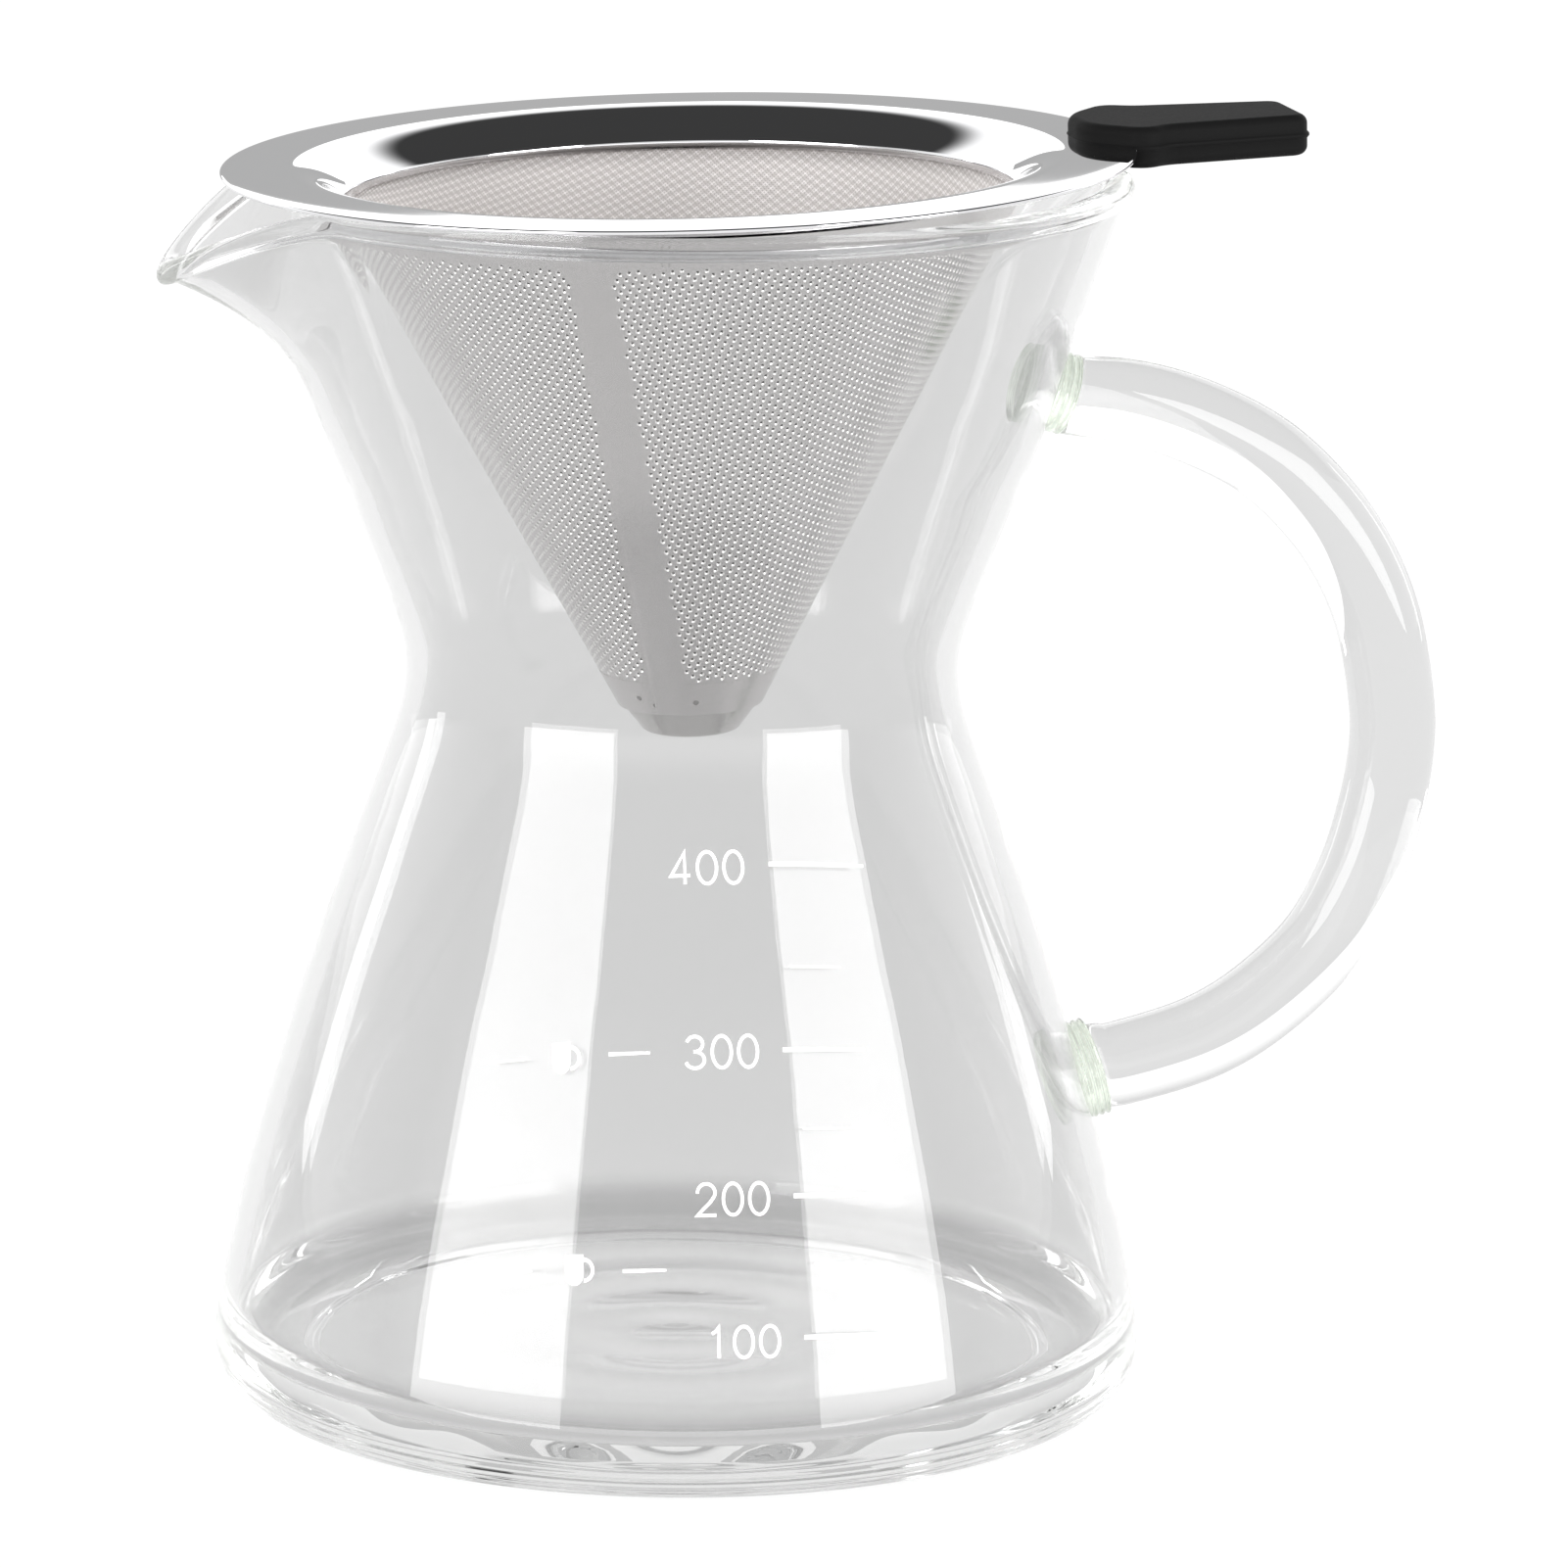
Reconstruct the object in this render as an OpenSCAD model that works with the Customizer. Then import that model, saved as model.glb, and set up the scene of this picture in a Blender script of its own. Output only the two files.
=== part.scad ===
// Pour-over coffee carafe: a blown glass server with a fused rod handle and a lift-out steel filter.
// The origin is on the axis of the glass at the plane of its foot. +Z is up, the handle is
// towards +X, the pouring spout towards -X and the printed scale faces -Y. Lengths are in
// millimetres and angles in degrees.

/* [Glass body] */
// Height of the rim above the table, on the handle side
rim_h = 143.5; // [138:0.5:160]
// Height of the waist, where the funnel meets the lower chamber
waist_h = 85.5; // [78:0.5:92]
// Height of the widest place, just above the heel
belly_h = 5.4; // [3.5:0.1:8]
// Outer radius at the widest place
belly_r = 54.3; // [52:0.1:62]
// Outer radius of the waist
waist_r = 32; // [28:0.1:36]
// Outer radius of the funnel just under its rim bead
mouth_r = 50.3; // [48:0.1:52]
// Outer radius of the flat foot
foot_r = 49.5; // [47:0.1:51]
// Width of the flat ring that the foot stands on
foot_ring_w = 5.5; // [3:0.5:10]
// Depth of the recess inside the foot ring
foot_recess = 0.6; // [0.3:0.1:1.5]
// Thickness of the glass wall, measured level
wall = 2.3; // [1.8:0.1:3.2]
// Height of the inside floor above the table
floor_h = 5.6; // [4:0.1:8]
// Radius of the flat part of the inside floor
floor_r = 46.8; // [42:0.1:48]
// Height of the round inside corner between floor and wall
floor_corner_h = 5; // [3:0.1:8]

/* [Rim and spout] */
// Height of the rolled bead round the rim
bead_h = 2.4; // [1.6:0.1:3.5]
// How far the bead stands out past the wall
bead_out = 1.1; // [0.5:0.1:2]
// How far the bead stands in past the wall
bead_in = 0.3; // [0:0.1:1]
// How much lower the rim lies on the spout side than on the handle side
rim_fall = 0.9; // [0:0.1:2]
// How far the spout's wall is pulled out past the round mouth
spout_out = 12; // [6:0.5:16]
// How far the spout's lip is pulled down
spout_drop = 9.4; // [5:0.1:12]
// Angle from the spout's middle to the place where the rim starts to bend
spout_half_angle = 26; // [18:1:40]
// How far below the rim the spout starts to grow out of the funnel
spout_h = 31.5; // [24:0.5:43]
// How far the lip is tipped outwards at the end of the spout
spout_lip_tilt = 60; // [30:1:70]

/* [Handle] */
// Diameter of the glass rod
rod_d = 10.2; // [8:0.1:12]
// Diameter of the rod at its upper joint
rod_top_d = 9.2; // [7:0.1:11]
// Diameter of the rod at its lower joint
rod_low_d = 9.8; // [8:0.1:11.5]
// Distance from the axis of the glass to the farthest point of the rod's centre line
handle_reach = 86.1; // [78:0.1:96]
// How far below the rim the middle of the upper joint lies on the glass
upper_joint_drop = 26.6; // [22:0.1:31]
// Height on the glass of the middle of the lower joint
lower_joint_h = 34.5; // [26:0.1:42]
// Thickness of the upper joint's pad
upper_pad_t = 3.1; // [2:0.1:4.5]
// Diameter of the upper joint's pad
upper_pad_d = 9.6; // [8:0.1:12]
// Thickness of the lower joint's pad
lower_pad_t = 2.4; // [1.8:0.1:4]
// Diameter of the lower joint's pad
lower_pad_d = 11.8; // [10:0.1:14]
// Depth of the rings drawn into both pads
pad_ring = 0.25; // [0.1:0.05:0.5]

/* [Filter] */
// How far the flange reaches past the outside of the funnel's mouth
flange_past = 2.2; // [1.6:0.1:3.6]
// Width of the steel from the flange's edge to the cone, drawn on to the plane of the flange
flange_w = 10.8; // [10:0.1:12]
// Thickness of the flange and collar sheet
flange_sheet = 0.5; // [0.4:0.05:0.8]
// Radius of the rolled lip between flange and collar
lip_r = 6.8; // [5.5:0.1:8]
// Depth of the collar's lower edge under the flange
collar_depth = 4.6; // [4.3:0.1:7]
// Angle between the cone's side and its axis
cone_lean = 27.8; // [26:0.1:29]
// Depth of the cone's upper edge under the flange
cone_top = 3; // [2.8:0.1:3.6]
// Outer radius of the cone at its lower edge
cone_tip_r = 8.4; // [6:0.1:12]
// Thickness of the perforated sheet
cone_sheet = 0.3; // [0.2:0.05:0.4]
// Thickness of the woven mesh
mesh_t = 0.15; // [0.1:0.05:0.25]
// How far the filter sits off the axis of the glass, towards the spout
filter_shift = 1; // [0:0.1:1.5]

/* [Tip cup] */
// Height of the cup below the cone's lower edge
cup_h = 3.4; // [1.8:0.1:5.8]
// Thickness of the cup's sheet
cup_sheet = 0.4; // [0.3:0.05:0.6]
// Length of the cup's skirt inside the cone
cup_lap = 3.6; // [2:0.1:6]
// Angle between the cup's lower side and its axis
cup_lean = 36; // [28:1:45]
// Radius of the cup's round lower corner
cup_corner = 1.2; // [0.8:0.1:1.8]

/* [Grip] */
// Thickness of the silicone sleeve
grip_t = 4.8; // [4:0.1:7]
// How far the sleeve's head reaches over the flange
grip_over = 5.9; // [4:0.1:8]
// How far the sleeve reaches past the flange's edge
grip_len = 20.9; // [16:0.1:31]
// How far past the flange's edge the sleeve has narrowed to its neck
grip_narrow = 3.6; // [2.6:0.1:6]
// Half width of the sleeve's head
grip_head = 11; // [10:0.1:13]
// Half width of the sleeve behind its head
grip_neck = 8.6; // [7.5:0.1:9.5]
// Half width of the sleeve at its end
grip_tail = 6.6; // [6.2:0.1:9]
// Radius of the round edges
grip_edge = 1.1; // [0.6:0.1:1.4]
// How far the moulding line stands out of the sleeve's side
grip_line = 0.25; // [0.1:0.05:0.4]
// Half width of the steel tab inside the sleeve
tab_half = 4.6; // [3.5:0.1:4.8]
// Radius of the hollow corners between flange and tab
tab_fillet = 10; // [8:0.5:11]
// Thickness of silicone past the end of the tab
grip_wall = 3; // [2:0.1:5]

/* [Printed scale] */
// Height of a printed line
print_line = 0.5; // [0.3:0.05:0.8]
// Thickness of the fired-on print
print_t = 0.12; // [0.08:0.01:0.2]
// Direction in which the long lines start, seen from above
print_start_angle = -86.2; // [-100:0.1:-70]

/* [Clearances] */
// Gap between pieces that are welded or fused face to face
weld_gap = 0.05; // [0.02:0.01:0.1]
// Gap between the filter and the rim that it rests on
seat_gap = 0.15; // [0.05:0.05:0.3]
// Gap between the sleeve and the steel inside it
sleeve_gap = 0.1; // [0.05:0.05:0.2]

/* [Hidden] */
$fn = 96;

// How far a cut runs past what it cuts
over = 1;
// How much thinner the funnel is on each face where it laps the lower wall
lap_ease = 0.15;
// How far the funnel reaches down inside the lower wall, and up until it has its full thickness
lap_h = 1.5;
lap_fade = 8;
// Length over which a slope is measured
probe = 0.5;

// Outer wall from belly to waist: height share, radius share
lower_wall_shares = [
    [0, 1], [0.03, 0.993], [0.1, 0.947], [0.2, 0.873], [0.3, 0.781], [0.4, 0.68], [0.5, 0.57],
    [0.6, 0.454], [0.7, 0.326], [0.8, 0.196], [0.9, 0.069], [0.95, 0.018], [1, 0]
];
// Outer wall from waist to rim: height share, radius share
upper_wall_shares = [
    [0, 0], [0.05, 0.014], [0.1, 0.052], [0.2, 0.158], [0.3, 0.273], [0.4, 0.388], [0.5, 0.512],
    [0.6, 0.61], [0.7, 0.692], [0.8, 0.79], [0.9, 0.896], [1, 1]
];
// Centre line of the handle from the upper joint to the lower one: share of the reach past the
// straight line between the joints, share of the height between them
handle_shares = [
    [0, 1], [0.19, 0.987], [0.39, 0.954], [0.59, 0.9], [0.75, 0.825], [0.865, 0.745],
    [0.945, 0.655], [0.99, 0.55], [1, 0.47], [0.97, 0.375], [0.9, 0.27], [0.775, 0.17],
    [0.575, 0.087], [0.365, 0.035], [0.1, 0.003], [0, 0]
];
// Printed lines from the top: height as a share of the waist's, sweep, and start past the first's
line_height_shares = [0.81, 0.685, 0.581, 0.481, 0.397, 0.311, 0.219];
line_sweep_angles = [18.3, 8.8, 13, 7.5, 12, 6.9, 11];
line_start_angles = [0, 2, 0, 2, 0, 2, 0];

// Steps of the funnel's mesh: round the axis, up the wall and over the bead
round_steps = 72;
wall_steps = 13;
bead_steps = 8;
// The mesh is finer near the spout and near the rim by these powers
spout_finer_share = 1.4;
rim_finer_share = 1.25;
// How sharply the spout narrows to its tip, grows out and drops
tip_share = 1.6;
out_share = 3.5;
drop_share = 1.3;
// Roundness of the spout's keel at the lip and at its foot
lip_keel_angle = 1.2;
foot_keel_angle = 7;
// Ends of the bead's arc, from straight out
bead_from_angle = -40;
bead_to_angle = 220;

// Steps of the rod's mesh: along one stretch of the route and round the rod
rod_along = 3;
rod_round = 20;
// Rings over which the rod's ends turn to lie on their pads
rod_turn = 5;
// Share of the rod's length over which its thickness changes at each end
rod_taper_share = 0.16;

// Steps of the sleeve's round corners and edges, and of the tab's and the cup's corners
corner_steps = 6;
edge_steps = 4;
// Steps of the pads' rings and of the wall that they lie on
ring_steps = 6;
envelope_steps = 24;

// A smooth curve through the rows of a table: place in the first column, value in the second
function row_at(tab, t, i = 0) = i >= len(tab) - 2 || t < tab[i + 1][0] ? i : row_at(tab, t, i + 1);
function row_slope(tab, i, last) =
    i == 0 ? 0
    : i == len(tab) - 1 ? last * (tab[i][1] - tab[i - 1][1]) / (tab[i][0] - tab[i - 1][0])
    : (tab[i + 1][1] - tab[i - 1][1]) / (tab[i + 1][0] - tab[i - 1][0]);
function hermite(a, b, ma, mb, u) =
    (2 * pow(u, 3) - 3 * pow(u, 2) + 1) * a + (pow(u, 3) - 2 * pow(u, 2) + u) * ma
    + (3 * pow(u, 2) - 2 * pow(u, 3)) * b + (pow(u, 3) - pow(u, 2)) * mb;
function curve(tab, t, last = 0) =
    let (i = row_at(tab, t), span = tab[i + 1][0] - tab[i][0], u = (t - tab[i][0]) / span)
    hermite(tab[i][1], tab[i + 1][1],
            span * row_slope(tab, i, last), span * row_slope(tab, i + 1, last), u);
function mix(a, b, t) = a + (b - a) * t;
function clamp01(t) = max(0, min(1, t));

// Outer radius of the round glass at a height
wall_top = rim_h - bead_h;
spout_base_h = rim_h - spout_h;
function wall_r(z) =
    z < waist_h
    ? mix(waist_r, belly_r, curve(lower_wall_shares, (z - belly_h) / (waist_h - belly_h)))
    : mix(waist_r, mouth_r, curve(upper_wall_shares, (z - waist_h) / (wall_top - waist_h), 1));
// Lean of the outer wall from upright, positive where it flares upwards
function wall_lean(z) = atan((wall_r(z + probe) - wall_r(z - probe)) / (2 * probe));

// Lower chamber, waist and floor of the glass, up to the waist
lower_steps = 30;
heel_steps = 8;
heel_w = belly_r - foot_r;
recess_edge = 2 * foot_recess;
inner_corner_z = floor_h + floor_corner_h;
inner_corner_r = wall_r(inner_corner_z) - wall;
function heel_points() = [
    for (i = [0 : heel_steps]) let (a = 90 * i / heel_steps)
        [foot_r + heel_w * sin(a), belly_h * (1 - cos(a))]
];
function floor_corner_points() = [
    for (i = [0 : heel_steps]) let (a = 90 * i / heel_steps)
        [mix(floor_r, inner_corner_r, cos(a)), inner_corner_z - floor_corner_h * sin(a)]
];
function lower_points() = concat(
    heel_points(),
    [for (i = [1 : lower_steps]) let (z = mix(belly_h, waist_h, i / lower_steps)) [wall_r(z), z]],
    [for (i = [lower_steps : -1 : 1])
        let (z = mix(inner_corner_z, waist_h, i / lower_steps)) [wall_r(z) - wall, z]],
    floor_corner_points(),
    [[0, floor_h], [0, foot_recess],
     [foot_r - foot_ring_w - recess_edge, foot_recess], [foot_r - foot_ring_w, 0]]
);

// Funnel, rim bead and spout: one closed profile in each direction round the axis
function spout_share(phi, w) =
    let (keel = mix(foot_keel_angle, lip_keel_angle, pow(w, 3)), off = norm([phi, keel]) - keel)
    pow(clamp01(1 - off / spout_half_angle), tip_share);
function rim_drop(phi) = rim_fall * (1 + cos(phi)) / 2;
function up_share(z) = clamp01((z - spout_base_h) / (rim_h - spout_base_h));
function lip_lean(phi, w) = spout_lip_tilt * spout_share(phi, w) * pow(w, 2);
function ease(z) = lap_ease * clamp01(1 - (z - waist_h) / lap_fade);
// Outer face of the funnel: radius and height for a height on the plain funnel
function funnel_face(phi, z) =
    let (w = up_share(z), s = spout_share(phi, w), rise = clamp01((z - waist_h) / (wall_top - waist_h)))
    [wall_r(z) - ease(z) + spout_out * s * pow(w, out_share),
     z - spout_drop * s * pow(w, drop_share) - rim_drop(phi) * rise];
function funnel_back(phi, z) =
    let (a = lip_lean(phi, up_share(z)))
    funnel_face(phi, z) + (wall - 2 * ease(z)) * [-cos(a), sin(a)];
bead_half = (wall + bead_out + bead_in) / 2;
function bead_middle(phi) =
    let (a = lip_lean(phi, up_share(wall_top)))
    funnel_face(phi, wall_top) + (bead_out - bead_half) * [cos(a), -sin(a)]
    + bead_h / 2 * [sin(a), cos(a)];
function bead_point(phi, t) =
    let (a = lip_lean(phi, up_share(wall_top)))
    bead_middle(phi) + bead_half * cos(t) * [cos(a), -sin(a)] + bead_h / 2 * sin(t) * [sin(a), cos(a)];
function station(i) = mix(waist_h - lap_h, wall_top, 1 - pow(1 - i / wall_steps, rim_finer_share));
function funnel_profile(phi) = concat(
    [for (i = [0 : wall_steps]) funnel_face(phi, station(i))],
    [for (i = [0 : bead_steps]) bead_point(phi, mix(bead_from_angle, bead_to_angle, i / bead_steps))],
    [for (i = [wall_steps : -1 : 0]) funnel_back(phi, station(i))]
);
profile_len = 2 * (wall_steps + 1) + bead_steps + 1;
function spread(i) =
    let (s = 2 * i / round_steps - 1) 180 * sign(s) * pow(abs(s), spout_finer_share);

module funnel() {
    points = [
        for (i = [0 : round_steps - 1]) let (phi = spread(i))
            for (p = funnel_profile(phi)) [-p[0] * cos(phi), -p[0] * sin(phi), p[1]]
    ];
    faces = [
        for (i = [0 : round_steps - 1]) let (a = i * profile_len, b = ((i + 1) % round_steps) * profile_len)
            for (k = [0 : profile_len - 1]) let (m = (k + 1) % profile_len)
                for (f = [[a + k, a + m, b + m], [a + k, b + m, b + k]]) f
    ];
    polyhedron(points, faces);
}

module carafe_body() {
    color([0.85, 0.9, 0.9, 0.45]) union() {
        rotate_extrude() polygon(lower_points());
        funnel();
    }
}

// Handle joints: a place on the wall, its outward direction and the plane where the rod ends
function joint_dir(z) = [cos(wall_lean(z)), -sin(wall_lean(z))];
function joint_centre(z, t) = [wall_r(z), z] + t * joint_dir(z);
upper_joint_h = rim_h - upper_joint_drop;
upper_end = joint_centre(upper_joint_h, upper_pad_t + weld_gap);
lower_end = joint_centre(lower_joint_h, lower_pad_t + weld_gap);
function handle_place(row) =
    let (z = mix(lower_end[1], upper_end[1], row[1]), x = mix(lower_end[0], upper_end[0], row[1]))
    [mix(x, handle_reach, row[0]), z];
handle_places = [for (row = handle_shares) handle_place(row)];
stretches = len(handle_places) - 1;
function place_slope(i) =
    i == 0 ? handle_places[1] - handle_places[0]
    : i == stretches ? handle_places[stretches] - handle_places[stretches - 1]
    : (handle_places[i + 1] - handle_places[i - 1]) / 2;
function rod_place(i, u) =
    hermite(handle_places[i], handle_places[i + 1], place_slope(i), place_slope(i + 1), u);
rod_line = concat(
    [for (i = [0 : stretches - 1]) for (k = [0 : rod_along - 1]) rod_place(i, k / rod_along)],
    [handle_places[stretches]]
);
rod_rings = len(rod_line);
function rod_dir(i) =
    let (d = rod_line[min(i + 1, rod_rings - 1)] - rod_line[max(i - 1, 0)]) d / norm(d);
function rod_radius(i) =
    let (s = i / (rod_rings - 1), a = clamp01(s / rod_taper_share), b = clamp01((1 - s) / rod_taper_share))
    (a < 1 ? mix(rod_top_d, rod_d, sin(90 * a)) : mix(rod_low_d, rod_d, sin(90 * b))) / 2;
// How far each point of an end ring moves along the rod so that the ring lies on its pad
function ring_turn(i) =
    let (end = i < rod_rings / 2, n = joint_dir(end ? upper_joint_h : lower_joint_h),
         d = rod_dir(end ? 0 : rod_rings - 1), side = [-d[1], d[0]],
         fade = clamp01(1 - (end ? i : rod_rings - 1 - i) / rod_turn))
    -fade * (side * n) / (d * n);

module handle_rod() {
    ring_points = [
        for (i = [0 : rod_rings - 1])
            let (c = rod_line[i], d = rod_dir(i), side = [-d[1], d[0]], r = rod_radius(i), turn = ring_turn(i))
                for (k = [0 : rod_round - 1])
                    let (a = 360 * k / rod_round, p = c + r * cos(a) * (side + turn * d))
                        [p[0], r * sin(a), p[1]]
    ];
    last = (rod_rings - 1) * rod_round;
    ends = [[rod_line[0][0], 0, rod_line[0][1]], [rod_line[rod_rings - 1][0], 0, rod_line[rod_rings - 1][1]]];
    faces = [
        for (i = [0 : rod_rings - 2]) for (k = [0 : rod_round - 1])
            let (a = i * rod_round, b = a + rod_round, m = (k + 1) % rod_round)
                for (f = [[a + k, b + k, b + m], [a + k, b + m, a + m]]) f
    ];
    caps = [
        for (k = [0 : rod_round - 1]) let (m = (k + 1) % rod_round, c = rod_rings * rod_round)
            for (f = [[c, k, m], [c + 1, last + m, last + k]]) f
    ];
    color([0.85, 0.9, 0.9, 0.45]) polyhedron(concat(ring_points, ends), concat(faces, caps));
}

// Round glass grown by a gap, from which the pads are cut to lie on the wall
module wall_envelope(low, high, gap) {
    rotate_extrude() polygon(concat(
        [[0, low]],
        [for (i = [0 : envelope_steps]) let (z = mix(low, high, i / envelope_steps)) [wall_r(z) + gap, z]],
        [[0, high]]
    ));
}

// Pad of fused glass between the wall and the rod, with rings drawn round its side
pad_rings = 3;
module pad(z, t, d) {
    steps = ring_steps * pad_rings;
    sink = d / 2 * tan(abs(wall_lean(z))) / 2;
    place = joint_centre(z, t);
    difference() {
        translate([place[0], 0, place[1]]) rotate([0, 90 + wall_lean(z), 0])
            rotate_extrude() polygon(concat(
                [[0, -t - sink]],
                [for (i = [0 : steps])
                    let (s = i / steps, dip = pad_ring * (1 - cos(360 * pad_rings * s)) / 2)
                        [d / 2 - dip, mix(-t - sink, 0, s)]],
                [[0, 0]]
            ));
        wall_envelope(z - d, z + d, weld_gap);
    }
}
module handle_upper_pad() {
    color([0.8, 0.88, 0.82, 0.6]) pad(upper_joint_h, upper_pad_t, upper_pad_d);
}
module handle_lower_pad() {
    color([0.8, 0.88, 0.82, 0.6]) pad(lower_joint_h, lower_pad_t, lower_pad_d);
}

// Lines of the volume scale, fired on to the front of the lower chamber
module scale_line(z, sweep, start) {
    half = print_line / 2;
    low = wall_r(z - half) + weld_gap;
    high = wall_r(z + half) + weld_gap;
    rotate([0, 0, start]) rotate_extrude(angle = sweep) polygon([
        [low, z - half], [low + print_t, z - half], [high + print_t, z + half], [high, z + half]
    ]);
}
module measuring_scale() {
    color("white") for (i = [0 : len(line_height_shares) - 1])
        scale_line(line_height_shares[i] * waist_h, line_sweep_angles[i],
                   print_start_angle + line_start_angles[i]);
}

// Filter: it rests on the rim at the spout's shoulders and, through the sleeve, on the handle side
crest_r = mouth_r + bead_out - bead_half;
flange_r = mouth_r + flange_past;
sleeve_under = (grip_t - flange_sheet) / 2;
shoulder_x = crest_r * cos(spout_half_angle);
shoulder_fall = rim_drop(spout_half_angle);
filter_tilt = atan((sleeve_under + shoulder_fall) / (shoulder_x + crest_r));
flange_h = rim_h - shoulder_fall + seat_gap + (shoulder_x - filter_shift) * tan(filter_tilt)
    + flange_sheet / cos(filter_tilt);
module in_filter() {
    translate([-filter_shift, 0, flange_h]) rotate([0, -filter_tilt, 0]) children();
}

// The cone runs from the flange's inner width down to its tip at its own lean
cone_r = flange_r - flange_w;
cone_depth = (cone_r - cone_tip_r) / tan(cone_lean);
// Level thickness of a sheet or gap that follows the cone
function on_cone(t) = t / cos(cone_lean);
// Radius of the cone's outer face at a depth under the flange
function cone_at(depth) = cone_r - depth * tan(cone_lean);
mesh_in = on_cone(cone_sheet + weld_gap);
collar_in = mesh_in + on_cone(mesh_t + weld_gap);
collar_face = collar_in + on_cone(flange_sheet);
// The lip's arc touches the flange's top and the collar's inner face
flat_r = cone_at(0) - collar_face + lip_r * (1 - sin(cone_lean)) / cos(cone_lean);
lip_steps = 10;
lip_under = lip_r - flange_sheet;
function lip_arc(r) = [
    for (i = [0 : lip_steps]) let (a = mix(90, 180 - cone_lean, i / lip_steps))
        [flat_r + r * cos(a), r * sin(a) - lip_r]
];
function reversed(list) = [for (i = [len(list) - 1 : -1 : 0]) list[i]];
module flange_ring() {
    rotate_extrude() polygon(concat(
        [[flange_r, -flange_sheet], [flange_r, 0]],
        lip_arc(lip_r),
        [[cone_at(collar_depth) - collar_face, -collar_depth],
         [cone_at(collar_depth) - collar_in, -collar_depth]],
        reversed(lip_arc(lip_under))
    ));
}
// Outline of the tab with its hollow corners, grown by a gap
grip_end = flange_r + grip_len;
tab_end = grip_end - grip_wall;
tab_corner_share = 0.33;
tab_corner = tab_corner_share * tab_half;
function fillet_centre(grow) = let (y = tab_half + tab_fillet, d = flange_r + tab_fillet)
    [sqrt(pow(d, 2) - pow(y, 2)), y];
function fillet_points(grow) =
    let (c = fillet_centre(grow), from = 180 + atan(c[1] / c[0]), r = tab_fillet - grow)
    [for (i = [0 : lip_steps]) let (a = mix(from, 270, i / lip_steps)) c + r * [cos(a), sin(a)]];
function tab_half_outline(grow) =
    let (c = [tab_end - tab_corner, tab_half - tab_corner], r = tab_corner + grow)
    concat(fillet_points(grow),
           [for (i = [0 : corner_steps]) let (a = 90 * (1 - i / corner_steps)) c + r * [cos(a), sin(a)]]);
module tab_outline(inner, grow) {
    half = tab_half_outline(grow);
    polygon(concat([[inner, half[0][1]]], half,
                   reversed([for (p = half) [p[0], -p[1]]]), [[inner, -half[0][1]]]));
}
module filter_flange() {
    color("silver") in_filter() union() {
        flange_ring();
        translate([0, 0, -flange_sheet]) linear_extrude(flange_sheet)
            tab_outline(flat_r + flange_sheet, 0);
    }
}

// Shell that follows the cone between two depths, its outer face a level distance inside the cone's
module cone_shell(top, bottom, inside, t) {
    rotate_extrude() polygon([
        [cone_at(top) - inside, -top], [cone_at(top) - inside - on_cone(t), -top],
        [cone_at(bottom) - inside - on_cone(t), -bottom], [cone_at(bottom) - inside, -bottom]
    ]);
}
module perforated_cone() {
    color("lightgray") in_filter() cone_shell(cone_top, cone_depth, 0, cone_sheet);
}
mesh_top = lip_r - lip_under * sin(cone_lean) + weld_gap;
module mesh_cone() {
    color("gray") in_filter() cone_shell(mesh_top, cone_depth - mesh_t, mesh_in, mesh_t);
}

// Cup that closes the cone: its skirt is inside the mesh and its bottom below the cone
cup_in = collar_in;
cup_top = cone_depth - cup_lap;
cup_depth = cone_depth + cup_h;
cup_break = cone_depth + cup_sheet;
function cup_profile(t) =
    let (r0 = cone_at(cup_break) - cup_in, drop = cup_depth - cup_break,
         foot = r0 - drop * tan(cup_lean), turn = 90 - cup_lean,
         inset = cup_corner * tan(turn / 2), c = [foot - inset, cup_corner - cup_depth], r = cup_corner - t)
    concat(
        [[cone_at(cup_top) - cup_in - on_cone(t), -cup_top], [r0 - on_cone(t), -cup_break]],
        [for (i = [0 : corner_steps]) let (a = -cup_lean - turn * i / corner_steps)
            c + r * [cos(a), sin(a)]],
        [[0, t - cup_depth]]
    );
module tip_cup() {
    color("silver") in_filter()
        rotate_extrude() polygon(concat(cup_profile(0), reversed(cup_profile(cup_sheet))));
}

// Sleeve: corner places of one side with their radii; a hollow corner has a negative radius
nose_x = flange_r - grip_over;
nose_share = 0.4;
neck_x = flange_r + grip_narrow;
nose_round = 9;
head_round = 3;
neck_round = 5;
tail_round = 2.2;
grip_side = [
    [grip_end, grip_tail, tail_round], [neck_x, grip_neck, -neck_round],
    [flange_r, grip_head, head_round], [nose_x, nose_share * grip_head, nose_round]
];
grip_corners = concat(grip_side, reversed([for (c = grip_side) [c[0], -c[1], c[2]]]));
function unit(v) = v / norm(v);
function left_of(v) = [-v[1], v[0]];
function turned(v, a) = [v[0] * cos(a) - v[1] * sin(a), v[0] * sin(a) + v[1] * cos(a)];
// Round corner of the outline drawn in by an inset
function corner_arc(i, inset) =
    let (n = len(grip_corners), c = grip_corners[i], v = [c[0], c[1]],
         before = grip_corners[(i + n - 1) % n], after = grip_corners[(i + 1) % n],
         u = unit(v - [before[0], before[1]]), w = unit([after[0], after[1]] - v),
         turn = asin(u[0] * w[1] - u[1] * w[0]), r = abs(c[2]), side = sign(c[2]),
         middle = v - r * tan(abs(turn) / 2) * u + side * r * left_of(u))
    [for (k = [0 : corner_steps])
        middle - side * (r - side * inset) * turned(left_of(u), turn * k / corner_steps)];
function grip_loop(inset) = [for (i = [0 : len(grip_corners) - 1]) for (p = corner_arc(i, inset)) p];
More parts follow.
